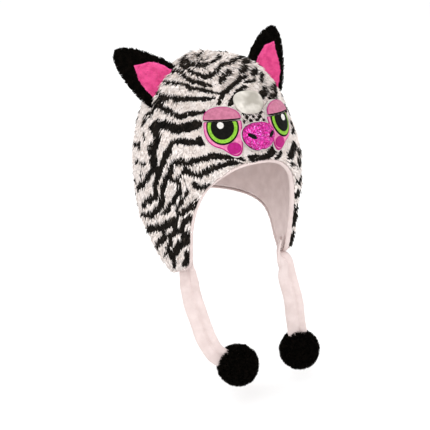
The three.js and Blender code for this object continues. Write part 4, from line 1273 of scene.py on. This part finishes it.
def add_tie(side, name):
    lap = [off_seat(side * math.radians(a), row_at(np.array(h)), -depth) for a, h, depth, _ in TIE_LAPS[name]]
    points = [*lap, *[np.array(row[:3], float) for row in TIES[name]]]
    facings = np.array([row[3] for row in TIE_LAPS[name] + TIES[name]], float)[:, None]
    section = np.array(TIE_SECTION, float)
    fine = spline(np.concatenate([section, section[:1]]), np.linspace(0, 1, TIE_SIDES + 1)[:-1])
    narrow, thin, reach = TIE_TOP
    rings = []
    for share in np.linspace(0, 1, TIE_RINGS):
        middle, aside, out = tie_frame(points, facings, share)
        full = smooth(0, reach, share)
        waver = 1 + TIE_WAVER.share * math.sin(TIE_WAVER.rate * share + side)
        width = TIE_HALF_WIDTH * (narrow + (1 - narrow) * full) * waver
        thickness = TIE_HALF_THICK * (thin + (1 - thin) * full)
        rings.append(middle + fine[:, :1] * width * aside + fine[:, 1:] * thickness * out)
    rings = np.array(rings)
    rings = lumpy(rings, rings.mean(1, keepdims=True), "tie")
    mesh = loft(rings, rings[0].mean(0), rings[-1].mean(0))
    cover(f"tie_{name}", "strap", mesh, fleece, "fleece")


def add_pompom(name):
    centre = np.array(POMPOMS[name], float)
    core, count = POMPOM.core, YARN.count
    latitudes = np.linspace(0, np.pi, POMPOM.rings)[1:-1, None]
    longitudes = 2 * np.pi * np.arange(POMPOM.sides) / POMPOM.sides
    level, height = np.sin(latitudes), np.cos(latitudes) + 0 * longitudes
    sphere = np.stack([level * np.cos(longitudes), level * np.sin(longitudes), height], -1)
    rings = centre + sphere * (core + layered_noise(sphere * core, [POMPOM_LUMPS]))[..., None]
    pole = np.array([0, 0, core])
    mesh = loft(rings, centre + pole, centre - pole)
    cover(f"pompom_{name}", "core", mesh, black_plush, "black_plush")
    roots, normals = scatter(*mesh, count)
    lie = random.normal(0, 1, roots.shape)
    vary = random.uniform(*YARN.vary, count)
    rise = (POMPOM.reach - core) * vary + YARN.more
    sunk = roots - normals * YARN.sunk
    mesh = tufts(sunk, normals, lie, YARN.length * vary, YARN.width * vary, rise)
    make_piece(f"pompom_{name}_yarn", *mesh, black_plush, slot="black_plush")


# Build

skin_points, skin_faces = add_skin()
add_fur(skin_points, skin_faces)
add_lining()
add_binding()
for name, side in SIDES.items():
    add_eye(side, name)
    add_ear(side, name)
    add_tie(side, name)
    add_pompom(name)
add_nose()
add_patch()


# Floor, lights and camera, in metres

FLOOR_SIZE, FLOOR_HEIGHT = 12, -0.395
LIGHTS_AIM = (0, 0, -0.15)
# Each light: its name, place, power and size.
LIGHTS = [
    ("key", (-1.1, -1.3, 1.2), 15, 1.0), ("fill", (1.6, -1, 0.5), 4, 1.4), ("back", (0.2, 1.5, 1), 8, 1.2),
]
WORLD_STRENGTH = 1.05
CAMERA_AZIMUTH = math.radians(-28.3)
CAMERA_ELEVATION = math.radians(18.4)
CAMERA_DISTANCE = 1.5
CAMERA_AIM = Vector((-0.0009, 0, -0.1795))
SENSOR = 36
IMAGE_SIZE = 430
FRAME_WIDTH = IMAGE_SIZE * 1.15 * MM  # a pixel is 1.15 mm at the hat


def add_floor():
    bpy.ops.mesh.primitive_plane_add(size=FLOOR_SIZE, location=(0, 0, FLOOR_HEIGHT))
    floor = bpy.context.object
    floor.name = "floor"
    floor.data.materials.append(principled("pale_floor", (0.95, 0.95, 0.95), 0.9))


def add_area_light(name, place, power, size):
    data = bpy.data.lights.new(name, "AREA")
    data.energy, data.size = power, size
    light = bpy.data.objects.new(name, data)
    light.location = place
    light.rotation_euler = (Vector(LIGHTS_AIM) - Vector(place)).to_track_quat("-Z", "Y").to_euler()
    bpy.context.scene.collection.objects.link(light)


def add_camera():
    data = bpy.data.cameras.new("camera")
    data.sensor_width = SENSOR
    data.lens = SENSOR * CAMERA_DISTANCE / FRAME_WIDTH
    camera = bpy.data.objects.new("camera", data)
    level, up = math.cos(CAMERA_ELEVATION), math.sin(CAMERA_ELEVATION)
    away = Vector((level * math.sin(CAMERA_AZIMUTH), -level * math.cos(CAMERA_AZIMUTH), up))
    camera.location = CAMERA_AIM + away * CAMERA_DISTANCE
    camera.rotation_euler = (-away).to_track_quat("-Z", "Y").to_euler()
    bpy.context.scene.collection.objects.link(camera)
    bpy.context.scene.camera = camera


def add_world():
    world = bpy.data.worlds.new("studio")
    world.use_nodes = True
    world.node_tree.nodes["Background"].inputs["Color"].default_value = (1, 1, 1, 1)
    world.node_tree.nodes["Background"].inputs["Strength"].default_value = WORLD_STRENGTH
    bpy.context.scene.world = world


add_floor()
add_world()
bpy.context.scene.view_settings.view_transform = "Standard"
for light in LIGHTS:
    add_area_light(*light)
add_camera()
